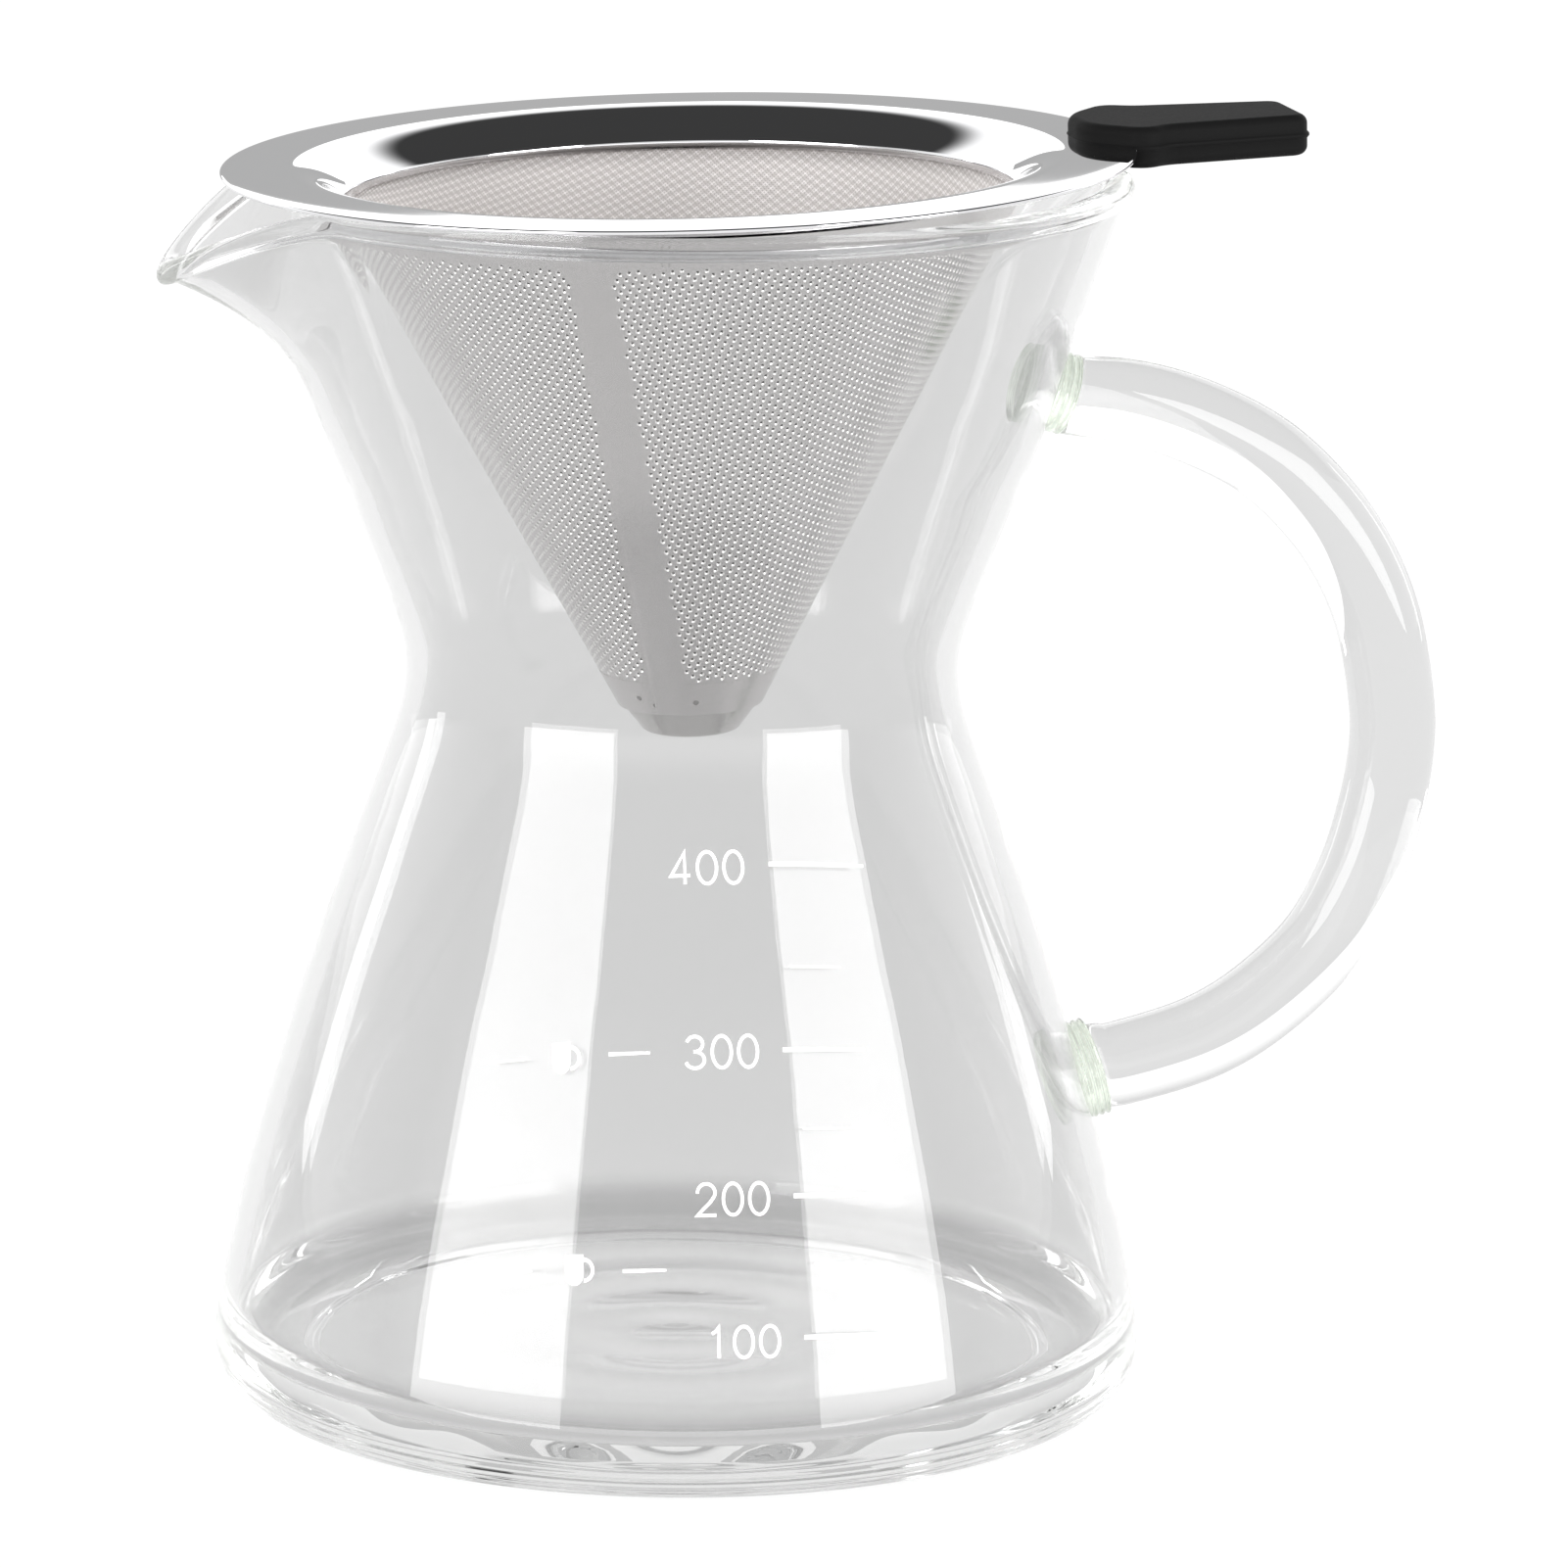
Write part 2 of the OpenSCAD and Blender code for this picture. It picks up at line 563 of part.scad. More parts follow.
// Sections of the sleeve from its underside to its top: height, inset
line_half = 0.4;
function edge_level(i) =
    let (a = 90 * i / edge_steps) [grip_t / 2 - grip_edge * (1 - cos(a)), grip_edge * (1 - sin(a))];
upper_levels = concat(
    [[line_half / 2, -grip_line], [line_half, 0]],
    [for (i = [edge_steps : -1 : 0]) edge_level(i)]
);
grip_levels = concat(reversed([for (l = upper_levels) [-l[0], l[1]]]), upper_levels);

module sleeve_form() {
    count = len(grip_corners) * (corner_steps + 1);
    points = [for (l = grip_levels) for (p = grip_loop(l[1])) [p[0], p[1], l[0]]];
    top = (len(grip_levels) - 1) * count;
    ends = [[neck_x, 0, -grip_t / 2], [neck_x, 0, grip_t / 2]];
    sides = [
        for (i = [0 : len(grip_levels) - 2]) for (k = [0 : count - 1])
            let (a = i * count, b = a + count, m = (k + 1) % count)
                for (f = [[a + k, b + k, b + m], [a + k, b + m, a + m]]) f
    ];
    caps = [
        for (k = [0 : count - 1]) let (m = (k + 1) % count, c = len(points))
            for (f = [[c, k, m], [c + 1, top + m, top + k]]) f
    ];
    polyhedron(concat(points, ends), concat(sides, caps));
}
module grip_sleeve() {
    slot = flange_sheet + 2 * sleeve_gap;
    color([0.13, 0.13, 0.13]) in_filter() translate([0, 0, -flange_sheet / 2]) difference() {
        sleeve_form();
        translate([0, 0, -slot / 2]) linear_extrude(slot) tab_outline(nose_x - over, sleeve_gap);
    }
}

carafe_body();
handle_rod();
handle_upper_pad();
handle_lower_pad();
measuring_scale();
filter_flange();
perforated_cone();
mesh_cone();
tip_cup();
grip_sleeve();
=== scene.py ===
"""Looks of the pour-over coffee carafe: a blown glass server with a lift-out steel filter.

Everything is in metres, in the frame of the CAD part: +Z up, handle at +X, spout at -X, printed
scale at -Y. The shapes follow the same rules as the part's solids, drawn finer.
"""
import math

import bmesh
import bpy
import numpy as np
from mathutils import Matrix, Vector


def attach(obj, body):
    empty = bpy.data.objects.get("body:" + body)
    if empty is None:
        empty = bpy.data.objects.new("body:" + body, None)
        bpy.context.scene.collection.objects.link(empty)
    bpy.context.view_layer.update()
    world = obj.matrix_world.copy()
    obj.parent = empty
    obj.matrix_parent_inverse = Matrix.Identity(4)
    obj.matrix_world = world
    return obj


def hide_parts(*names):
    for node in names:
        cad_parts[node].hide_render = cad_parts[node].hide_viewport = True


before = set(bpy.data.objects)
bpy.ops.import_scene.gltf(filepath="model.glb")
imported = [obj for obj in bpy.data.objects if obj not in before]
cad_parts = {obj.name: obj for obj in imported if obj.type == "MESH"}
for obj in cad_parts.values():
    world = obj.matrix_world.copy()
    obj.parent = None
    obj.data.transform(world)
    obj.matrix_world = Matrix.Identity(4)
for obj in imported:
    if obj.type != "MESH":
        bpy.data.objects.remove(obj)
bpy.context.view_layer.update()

# Glass body. A punt is the slow round wave of the blown base: its depth and how far it reaches
RIM_H, WAIST_H, BELLY_H = 0.1435, 0.0855, 0.0054
BELLY_R, WAIST_R, MOUTH_R, FOOT_R = 0.0543, 0.032, 0.0503, 0.0495
FOOT_RING_W, FOOT_RECESS = 0.0055, 0.0006
WALL, FLOOR_H, FLOOR_R, FLOOR_CORNER_H = 0.0023, 0.0056, 0.0468, 0.005
BEAD_H, BEAD_OUT, BEAD_IN, RIM_FALL = 0.0024, 0.0011, 0.0003, 0.0009
SPOUT_OUT, SPOUT_DROP, SPOUT_H = 0.01194, 0.0094, 0.0315
SPOUT_HALF_ANGLE, SPOUT_LIP_TILT = 26, 60
SPOUT_KEEL_LOW, SPOUT_KEEL_TOP, SPOUT_SIDES = 7, 1.2, 1.6
SPOUT_OUT_CURVE, SPOUT_DROP_CURVE = 3.5, 1.3
FOOT_PUNT, FLOOR_PUNT, PUNT_WAVE = (0.00012, 0.018), (0.00022, 0.03), 0.015

# Handle
ROD_D, ROD_TOP_D, ROD_LOW_D, HANDLE_REACH = 0.0102, 0.0092, 0.0098, 0.08608
UPPER_JOINT_H, LOWER_JOINT_H = RIM_H - 0.0266, 0.0345
UPPER_PAD_T, UPPER_PAD_D, LOWER_PAD_T, LOWER_PAD_D = 0.0031, 0.0096, 0.0024, 0.0118
PAD_RING, PAD_RINGS, ROD_EDGE = 0.00025, 3, 0.0004

# Filter
FLANGE_R, FLANGE_SHEET, LIP_R, COLLAR_DEPTH = 0.0525, 0.0005, 0.0068, 0.0046
FLANGE_EDGE, FLANGE_FALL = 0.00012, math.radians(1.2)
CONE_R, CONE_LEAN, CONE_TOP, CONE_TIP_R = 0.0417, math.radians(27.8), 0.003, 0.0084
CONE_SHEET, MESH_T, FILTER_SHIFT = 0.0003, 0.00015, 0.001
CUP_H, CUP_SHEET, CUP_LAP, CUP_LEAN, CUP_CORNER = 0.0034, 0.0004, 0.0036, math.radians(36), 0.0012
GRIP_T, GRIP_OVER, GRIP_LEN, GRIP_NARROW = 0.0048, 0.0059, 0.0209, 0.0036
GRIP_HEAD, GRIP_NECK, GRIP_TAIL, GRIP_EDGE, GRIP_LINE = 0.011, 0.0086, 0.0066, 0.0011, 0.00025
TAB_HALF, TAB_FILLET, TAB_LAP, TAB_SUNK, TAB_RAISED = 0.0046, 0.01, 0.0002, 0.00006, 0.000005
GRIP_WALL, GRIP_LINE_HALF = 0.003, 0.0004
WELD_GAP, SEAT_GAP = 0.00005, 0.00015

# Perforation of the cone's flat sheet, before it is rolled, its plain bands, its seam and its welds
HOLE_PITCH, HOLE_ROW, HOLE_R = 0.00105, 0.0008, 0.0003
HOLE_BEVEL, HOLE_BORE = 0.00012, 0.00015
HOLES_FROM, HOLES_TO = 0.0061, 0.059
WIRE_PITCH = 0.00048
SEAM_AT, SEAM_W, SEAM_PROUD, BAND_PROUD = math.radians(-117), 0.0042, 0.00004, 0.00002
SPOT_R, SPOT_STEP, TIP_SPOT_R, SPOT_PROUD = 0.00016, 0.0004, 0.00035, 0.00003
# Middles of the welds: degrees round the cone and depth below the flange
COLLAR_WELDS = [(-104, 0.0045), (-76, 0.0045)]
TIP_WELDS = [(-98, 0.0615), (-140, 0.0612), (-128, 0.062)]

# Share of the way up from belly to waist, and share of the way out from waist to belly
LOWER_WALL = [
    (0, 1), (0.03, 0.993), (0.1, 0.947), (0.2, 0.873), (0.3, 0.781), (0.4, 0.68), (0.5, 0.57),
    (0.6, 0.454), (0.7, 0.326), (0.8, 0.196), (0.9, 0.069), (0.95, 0.018), (1, 0),
]
# Share of the way up from waist to rim, and share of the way out from waist to mouth
UPPER_WALL = [
    (0, 0), (0.05, 0.014), (0.1, 0.052), (0.2, 0.158), (0.3, 0.273), (0.4, 0.388), (0.5, 0.512),
    (0.6, 0.61), (0.7, 0.692), (0.8, 0.79), (0.9, 0.896), (1, 1),
]
# The rod's middle line from its upper joint to its lower one: shares of its reach and its height
HANDLE = [
    (0, 1), (0.19, 0.987), (0.39, 0.954), (0.59, 0.9), (0.75, 0.825), (0.865, 0.745),
    (0.945, 0.655), (0.99, 0.55), (1, 0.47), (0.97, 0.375), (0.9, 0.27), (0.775, 0.17),
    (0.575, 0.087), (0.365, 0.035), (0.1, 0.003), (0, 0),
]

# Printed scale: the side that it faces, its thickness, its gap to the glass and its line width
PRINT_MIDDLE = math.radians(-95)
PRINT_T, PRINT_GAP, PRINT_LINE = 0.00006, 0.00001, 0.0005

# Photo studio: where the camera is, in degrees round the part
CAMERA_AZIMUTH = -102
CAMERA_SIDE = math.radians(CAMERA_AZIMUTH)
# Light of the white walls, behind the part and on the camera's side
WALL_LIGHT, FRONT_LIGHT = 1.6, 0.8
# Softboxes: degrees round from the camera, width and brightness
LIGHTS = {
    "left_softbox": (-47, 0.93, 5),
    "right_softbox": (53, 0.86, 5),
    "left_rim_light": (-122, 0.14, 2.5),
    "right_rim_light": (122, 0.14, 2.5),
}


# Plain helpers

def mix(a, b, t):
    return a + (b - a) * t


def clamp01(t):
    return np.clip(t, 0, 1)


def unit(v):
    return v / np.linalg.norm(v)


def hermite(a, b, ma, mb, u):
    return ((2 * u**3 - 3 * u**2 + 1) * a + (u**3 - 2 * u**2 + u) * ma
            + (3 * u**2 - 2 * u**3) * b + (u**3 - u**2) * mb)


def curve(table, t, last=0.0):
    """A smooth curve through the rows of a table: place in the first column, value in the second."""
    x, y = np.array(table, dtype=float).T
    slope = np.concatenate([[0], (y[2:] - y[:-2]) / (x[2:] - x[:-2]),
                            [last * (y[-1] - y[-2]) / (x[-1] - x[-2])]])
    i = np.clip(np.searchsorted(x, t, side="right") - 1, 0, len(x) - 2)
    span = x[i + 1] - x[i]
    return hermite(y[i], y[i + 1], span * slope[i], span * slope[i + 1], (t - x[i]) / span)


def oval(x, y, w, h, start, end, steps=18):
    """Points of an oval arc between two angles in degrees."""
    return [(x + w * math.cos(a), y + h * math.sin(a))
            for a in np.radians(np.linspace(start, end, steps))]


def arc(x, y, r, start, end, steps):
    """Points of a round arc between two angles in degrees."""
    return oval(x, y, r, r, start, end, steps)


def mesh_object(name, points, faces, smooth=True):
    mesh = bpy.data.meshes.new(name)
    mesh.from_pydata([tuple(p) for p in points], [], faces)
    mesh.validate()
    mesh.polygons.foreach_set("use_smooth", [smooth] * len(mesh.polygons))
    obj = bpy.data.objects.new(name, mesh)
    bpy.context.scene.collection.objects.link(obj)
    return obj


def closed_object(name, points, faces, smooth=True):
    """A closed mesh, with all its faces turned outwards."""
    obj = mesh_object(name, points, faces, smooth)
    form = bmesh.new()
    form.from_mesh(obj.data)
    bmesh.ops.recalc_face_normals(form, faces=form.faces)
    form.to_mesh(obj.data)
    form.free()
    return obj


def grid_faces(rows, columns, close_rows=False, close_columns=False):
    """Quads of a grid of points that is stored row by row."""
    faces = []
    for i in range(rows if close_rows else rows - 1):
        for k in range(columns if close_columns else columns - 1):
            a, b = i * columns, ((i + 1) % rows) * columns
            m = (k + 1) % columns
            faces.append((a + k, b + k, b + m, a + m))
    return faces


def fan(faces, pole, ring):
    """Triangles from one point to a closed ring of points."""
    faces += [(pole, a, b) for a, b in zip(ring, ring[1:] + ring[:1])]


def revolve(name, profile, steps=256):
    """A closed surface of revolution about Z. A profile that ends on the axis gets two poles."""
    profile = np.array(profile, dtype=float)
    poles = profile[0, 0] < 1e-9 and profile[-1, 0] < 1e-9
    ring = profile[1:-1] if poles else profile
    a = np.linspace(0, 2 * math.pi, steps, endpoint=False)[:, None]
    points = np.stack([ring[:, 0] * np.cos(a), ring[:, 0] * np.sin(a),
                       np.broadcast_to(ring[:, 1], (steps, len(ring)))], axis=2).reshape(-1, 3)
    faces = grid_faces(steps, len(ring), close_rows=True, close_columns=not poles)
    if poles:
        count, n = len(points), len(ring)
        points = np.vstack([points, [[0, 0, profile[0, 1]], [0, 0, profile[-1, 1]]]])
        fan(faces, count, list(range(0, count, n)))
        fan(faces, count + 1, list(range(n - 1, count, n)))
    return closed_object(name, points, faces)


def dress(obj, material, body, slot, *nodes):
    """Gives a piece its material, lets it ride on a body and stand for CAD nodes. Its slot is not used.
    """
    obj.data.materials.clear()
    obj.data.materials.append(material)
    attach(obj, body)
    if nodes:
        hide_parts(*nodes)


# Materials

def node_material(name):
    material = bpy.data.materials.new(name)
    material.use_nodes = True
    return material, material.node_tree.nodes, material.node_tree.links


def ramp(tree, source, start, end, low=0.0, high=1.0, kind="LINEAR"):
    """Goes from low to high while the source goes from start to end."""
    node = tree.nodes.new("ShaderNodeMapRange")
    node.interpolation_type = kind
    for socket, value in (("From Min", start), ("From Max", end), ("To Min", low), ("To Max", high)):
        node.inputs[socket].default_value = value
    tree.links.new(source, node.inputs["Value"])
    return node.outputs["Result"]


def calc(tree, operation, *values):
    """One sum in the nodes, on numbers and on other nodes' outputs."""
    node = tree.nodes.new("ShaderNodeMath")
    node.operation = operation
    for socket, value in zip(node.inputs, values):
        if isinstance(value, (int, float)):
            socket.default_value = value
        else:
            tree.links.new(value, socket)
    return node.outputs["Value"]


def axes(tree, source):
    """X, Y and Z of a place or a direction."""
    node = tree.nodes.new("ShaderNodeSeparateXYZ")
    tree.links.new(source, node.inputs["Vector"])
    return [node.outputs[axis] for axis in "XYZ"]


def flat_length(tree, x, y):
    """Distance from the upright axis."""
    squares = [calc(tree, "MULTIPLY", side, side) for side in (x, y)]
    return calc(tree, "SQRT", calc(tree, "ADD", *squares))


def relief(material, height, strength, distance):
    """Gives a material's surface a relief of a height."""
    nodes, links = material.node_tree.nodes, material.node_tree.links
    bump = nodes.new("ShaderNodeBump")
    bump.inputs["Strength"].default_value = strength
    bump.inputs["Distance"].default_value = distance
    links.new(height, bump.inputs["Height"])
    links.new(bump.outputs["Normal"], nodes["Principled BSDF"].inputs["Normal"])


def noise_bump(material, place, scale, detail, strength, distance):
    """Gives a material's surface the relief of a noise, and hands the noise back."""
    nodes, links = material.node_tree.nodes, material.node_tree.links
    noise = nodes.new("ShaderNodeTexNoise")
    noise.inputs["Scale"].default_value = scale
    noise.inputs["Detail"].default_value = detail
    links.new(place, noise.inputs["Vector"])
    relief(material, noise.outputs["Fac"], strength, distance)
    return noise.outputs["Fac"]


def surface(name, color, roughness, metallic=0.0, grain=2000.0, depth=0.00002, uneven=0.1,
            **sockets):
    """A Principled surface with a fine grain in its relief and its roughness."""
    material, nodes, links = node_material(name)
    shader = nodes["Principled BSDF"]
    shader.inputs["Base Color"].default_value = (*color, 1)
    shader.inputs["Metallic"].default_value = metallic
    for socket, value in sockets.items():
        shader.inputs[socket.replace("_", " ")].default_value = value
    place = nodes.new("ShaderNodeTexCoord").outputs["Object"]
    noise = noise_bump(material, place, grain, detail=3, strength=0.4, distance=depth)
    rough = ramp(material.node_tree, noise, 0, 1, roughness * (1 - uneven), roughness * (1 + uneven))
    links.new(rough, shader.inputs["Roughness"])
    return material


def clear_glass(name, color):
    """Borosilicate glass with the slow waves of blown glass, a little green over long ways inside."""
    material, nodes, links = node_material(name)
    shader = nodes["Principled BSDF"]
    # The base colour is a grey darker than clear glass: painted shade.
    shader.inputs["Base Color"].default_value = (*color, 1)
    shader.inputs["Roughness"].default_value = 0
    shader.inputs["IOR"].default_value = 1.47
    shader.inputs["Transmission Weight"].default_value = 1
    place = nodes.new("ShaderNodeTexCoord").outputs["Object"]
    noise_bump(material, place, GLASS_WAVES, detail=1, strength=0.15, distance=0.0002)
    inside = nodes.new("ShaderNodeVolumeAbsorption")
    inside.inputs["Color"].default_value = (0.1, 0.2, 0, 1)
    inside.inputs["Density"].default_value = GLASS_DENSITY
    links.new(inside.outputs["Volume"], nodes["Material Output"].inputs["Volume"])
    return material


def paint_base_shade(material):
    """Paints shade into the glass's colour: its floor greyer than its walls, and its heel most of all."""
    tree = material.node_tree
    nodes, links = tree.nodes, tree.links

    def blend(share, first, second):
        node = nodes.new("ShaderNodeMix")
        node.data_type = "RGBA"
        links.new(share, node.inputs["Factor"])
        for socket, shade_grey in (("A", first), ("B", second)):
            if isinstance(shade_grey, float):
                node.inputs[socket].default_value = (shade_grey, shade_grey, shade_grey, 1)
            else:
                links.new(shade_grey, node.inputs[socket])
        return node.outputs["Result"]

    x, y, z = axes(tree, nodes.new("ShaderNodeTexCoord").outputs["Object"])
    radius = flat_length(tree, x, y)
    base = blend(ramp(tree, radius, HEEL_IN, FOOT_R, kind="SMOOTHSTEP"), FLOOR_SHADE_GREY, HEEL_SHADE_GREY)
    shade_grey = blend(ramp(tree, z, HEEL_TOP, HEEL_FULL, kind="SMOOTHSTEP"), WALL_SHADE_GREY, base)
    links.new(shade_grey, nodes["Principled BSDF"].inputs["Base Color"])


def woven_mesh(name):
    """Fine woven wire, paler where light comes through the holes of the cone round it.

    The pattern is drawn on the cone's flat sheet, so that it meets the real holes.
    """
    material, nodes, links = node_material(name)
    tree = material.node_tree
    shader = nodes["Principled BSDF"]
    shader.inputs["Metallic"].default_value = 0.5
    shader.inputs["Roughness"].default_value = 0.5

    def times(a, b):
        return calc(tree, "MULTIPLY", a, b)

    def wave(kind, value, pitch):
        return calc(tree, kind, times(value, 2 * math.pi / pitch))

    x, y, _ = axes(tree, nodes.new("ShaderNodeTexCoord").outputs["Object"])
    ahead = SEAM_AT + math.pi
    along = calc(tree, "ADD", times(x, math.cos(ahead)), times(y, math.sin(ahead)))
    aside = calc(tree, "SUBTRACT", times(y, math.cos(ahead)), times(x, math.sin(ahead)))
    turn = times(calc(tree, "ARCTAN2", aside, along), math.sin(CONE_LEAN))
    reach = calc(tree, "DIVIDE", flat_length(tree, x, y), math.sin(CONE_LEAN))
    u, v = times(reach, calc(tree, "COSINE", turn)), times(reach, calc(tree, "SINE", turn))
    dots = times(wave("COSINE", u, HOLE_PITCH), wave("COSINE", v, 2 * HOLE_ROW))
    wires = calc(tree, "MAXIMUM", wave("SINE", calc(tree, "ADD", u, v), WIRE_PITCH),
                 wave("SINE", calc(tree, "SUBTRACT", u, v), WIRE_PITCH))
    tone = nodes.new("ShaderNodeValToRGB")
    dark, pale = tone.color_ramp.elements
    dark.position, dark.color = 0.0, (0.58, 0.545, 0.53, 1)
    pale.position, pale.color = 0.8, (0.95, 0.92, 0.91, 1)
    dot_share, wire_share = 0.45, 0.4
    links.new(calc(tree, "ADD", times(dots, dot_share), times(wires, wire_share)), tone.inputs["Fac"])
    links.new(tone.outputs["Color"], shader.inputs["Base Color"])
    relief(material, wires, strength=0.5, distance=0.00004)
    return material


# Greys of the glass, painted shade that clear glass does not have, and where the thick base begins:
# heights on the outside, then a radius
WALL_SHADE_GREY, FLOOR_SHADE_GREY, HEEL_SHADE_GREY = 0.785, 0.69, 0.5
HEEL_TOP, HEEL_FULL, HEEL_IN = 0.011, 0.006, 0.045
GLASS_DENSITY, GLASS_WAVES = 0.25, 70

glass = clear_glass("clear_glass", (WALL_SHADE_GREY,) * 3)
paint_base_shade(glass)
# The rod is a darker grey copy of the same glass: painted shade.
rod_glass = clear_glass("rod_glass", (0.71, 0.71, 0.71))
joint_glass = clear_glass("joint_glass", (0.72, 0.78, 0.69))
# The print also glows faintly (Emission 0.1): painted light that keeps it white.
white_print = surface("white_print", (0.95, 0.95, 0.95), 0.5, grain=4000, Emission_Strength=0.1,
                      Emission_Color=(1, 1, 1, 1))
flange_steel = surface("flange_steel", (0.75, 0.75, 0.76), 0.015, 1.0, grain=5000, depth=0)
# Paler, shinier copy of the cone's steel for the holes' bevels: painted highlight, the bright crescents
# in the holes.
hole_highlight_steel = surface("hole_highlight_steel", (0.97, 0.96, 0.95), 0.15, 1.0, grain=3000, depth=0.000001)
cone_steel = surface("cone_steel", (0.72, 0.705, 0.7), 0.25, 1.0, grain=3000, depth=0.000005)
weld_steel = surface("weld_steel", (0.4, 0.39, 0.38), 0.4, 1.0, grain=3000, depth=0.00001)
cup_steel = surface("cup_steel", (0.64, 0.63, 0.62), 0.2, 1.0, grain=3000, depth=0.000005)
mesh_steel = woven_mesh("woven_mesh")
silicone = surface("black_silicone", (0.008, 0.008, 0.008), 0.6, grain=2500, depth=0.00003,
                   Specular_IOR_Level=0.05)


# Glass body

WALL_TOP = RIM_H - BEAD_H
SPOUT_BASE_H = RIM_H - SPOUT_H
BEAD_HALF = (WALL + BEAD_OUT + BEAD_IN) / 2


def wall_r(z):
    """Outer radius of the round glass at a height."""
    z = np.asarray(z, dtype=float)
    low = mix(WAIST_R, BELLY_R, curve(LOWER_WALL, (z - BELLY_H) / (WAIST_H - BELLY_H)))
    high = mix(WAIST_R, MOUTH_R, curve(UPPER_WALL, (z - WAIST_H) / (WALL_TOP - WAIST_H), 1))
    return np.where(z < WAIST_H, low, high)


def wall_lean(z, probe=0.0005):
    """How far the wall leans outwards at a height."""
    return math.atan((wall_r(z + probe) - wall_r(z - probe)) / (2 * probe))


def up_share(z):
    """How far up the spout a height is, from 0 at its root to 1 at the rim."""
    return clamp01((z - SPOUT_BASE_H) / (RIM_H - SPOUT_BASE_H))


def spout_share(phi, w):
    """How much of the spout's pull the glass gets, phi degrees away from the spout's middle."""
    keel = mix(SPOUT_KEEL_LOW, SPOUT_KEEL_TOP, w**3)
    return clamp01(1 - (np.hypot(phi, keel) - keel) / SPOUT_HALF_ANGLE) ** SPOUT_SIDES


def funnel_face(phi, z):
    """Radius and height on the funnel's outside: the round wall, drawn out and down at the spout."""
    w = up_share(z)
    s = spout_share(phi, w)
    rise = clamp01((z - WAIST_H) / (WALL_TOP - WAIST_H))
    fall = RIM_FALL * (1 + np.cos(np.radians(phi))) / 2
    return (wall_r(z) + SPOUT_OUT * s * w**SPOUT_OUT_CURVE,
            z - SPOUT_DROP * s * w**SPOUT_DROP_CURVE - fall * rise)


def lip_tilt(phi, w):
    """How far the spout's lip is tipped outwards."""
    return np.radians(SPOUT_LIP_TILT) * spout_share(phi, w) * w**2


def funnel_back(phi, z):
    """Radius and height on the funnel's inside."""
    a = lip_tilt(phi, up_share(z))
    r, h = funnel_face(phi, z)
    return r - WALL * np.cos(a), h + WALL * np.sin(a)


def bead_point(phi, t):
    """Radius and height on the rolled bead of the rim, at an angle round its section."""
    a = lip_tilt(phi, up_share(WALL_TOP))
    r, h = funnel_face(phi, np.full_like(t, WALL_TOP))
    out, up = BEAD_OUT - BEAD_HALF + BEAD_HALF * np.cos(t), BEAD_H / 2 * (1 + np.sin(t))
    return r + out * np.cos(a) + up * np.sin(a), h - out * np.sin(a) + up * np.cos(a)


def glass_profile(phi):
    """Closed profile of the glass in one direction: up the outside, over the bead, down the inside."""
    parts = []

    def add(r, z):
        parts.append(np.stack([np.broadcast_to(r, np.shape(z)), z], axis=1))

    def punt(r, depth, reach):
        return depth * np.cos(2 * math.pi * r / PUNT_WAVE) * np.exp(-(r / reach) ** 2)

    inner, innermost = FOOT_R - FOOT_RING_W - 2 * FOOT_RECESS, 0.0004
    r = np.linspace(innermost, inner, 44)
    add(r, FOOT_RECESS + punt(r, *FOOT_PUNT))
    t = np.linspace(0, 1, 6)
    add(mix(inner, FOOT_R - FOOT_RING_W, t), FOOT_RECESS * (1 + np.cos(math.pi * t)) / 2)
    a = np.linspace(0, math.pi / 2, 16)
    add(FOOT_R + (BELLY_R - FOOT_R) * np.sin(a), BELLY_H * (1 - np.cos(a)))
    z = np.linspace(BELLY_H, WAIST_H, 70)[1:]
    add(wall_r(z), z)
    z = WAIST_H + (WALL_TOP - WAIST_H) * np.linspace(0, 1, 60)[1:]
    add(*funnel_face(phi, z))
    t = np.radians(np.linspace(-40, 220, 26))
    add(*bead_point(phi, t))
    add(*funnel_back(phi, z[::-1]))
    corner_z = FLOOR_H + FLOOR_CORNER_H
    z = np.linspace(WAIST_H, corner_z, 70)
    add(wall_r(z) - WALL, z)
    a = np.linspace(0, math.pi / 2, 14)[1:]
    add(mix(FLOOR_R, wall_r(corner_z) - WALL, np.cos(a)), corner_z - FLOOR_CORNER_H * np.sin(a))
    r = np.linspace(FLOOR_R, innermost, 72)[1:]
    add(r, FLOOR_H + punt(r, *FLOOR_PUNT))
    return np.vstack(parts)


def glass_body(steps=288):
    """The blown glass, with its sections closer together near the spout."""
    s, crowding = 2 * np.arange(steps) / steps - 1, 1.4
    turns = 180 * np.sign(s) * np.abs(s) ** crowding
    profiles = [glass_profile(phi) for phi in turns]
    n = len(profiles[0])
    points = []
    for phi, profile in zip(np.radians(turns), profiles):
        points.append(np.stack([-profile[:, 0] * math.cos(phi), -profile[:, 0] * math.sin(phi),
                                profile[:, 1]], axis=1))
    points = np.vstack(points)
    faces, count = grid_faces(steps, n, close_rows=True), len(points)
    fan(faces, count, list(range(0, count, n)))
    fan(faces, count + 1, list(range(count - 1, 0, -n)))
    points = np.vstack([points, [[0, 0, profiles[0][0, 1]], [0, 0, profiles[0][-1, 1]]]])
    return closed_object("glass_body", points, faces)


dress(glass_body(), glass, "carafe", "glass", "carafe_body")


# Handle

def joint_dir(z):
    """Direction square to the wall, in the plane of the handle."""
    a = wall_lean(z)
    return np.array([math.cos(a), -math.sin(a)])


def joint_centre(z, t):
    """Middle of a joint at a height, on the outer side of a pad that is t thick."""
    return np.array([float(wall_r(z)), z]) + t * joint_dir(z)


def handle_line(t, places, slopes):
    """Centre line of the rod at a stretch number with a fraction."""
    i = np.clip(t.astype(int), 0, len(places) - 2)
    u = (t - i)[:, None]
    return hermite(places[i], places[i + 1], slopes[i], slopes[i + 1], u)


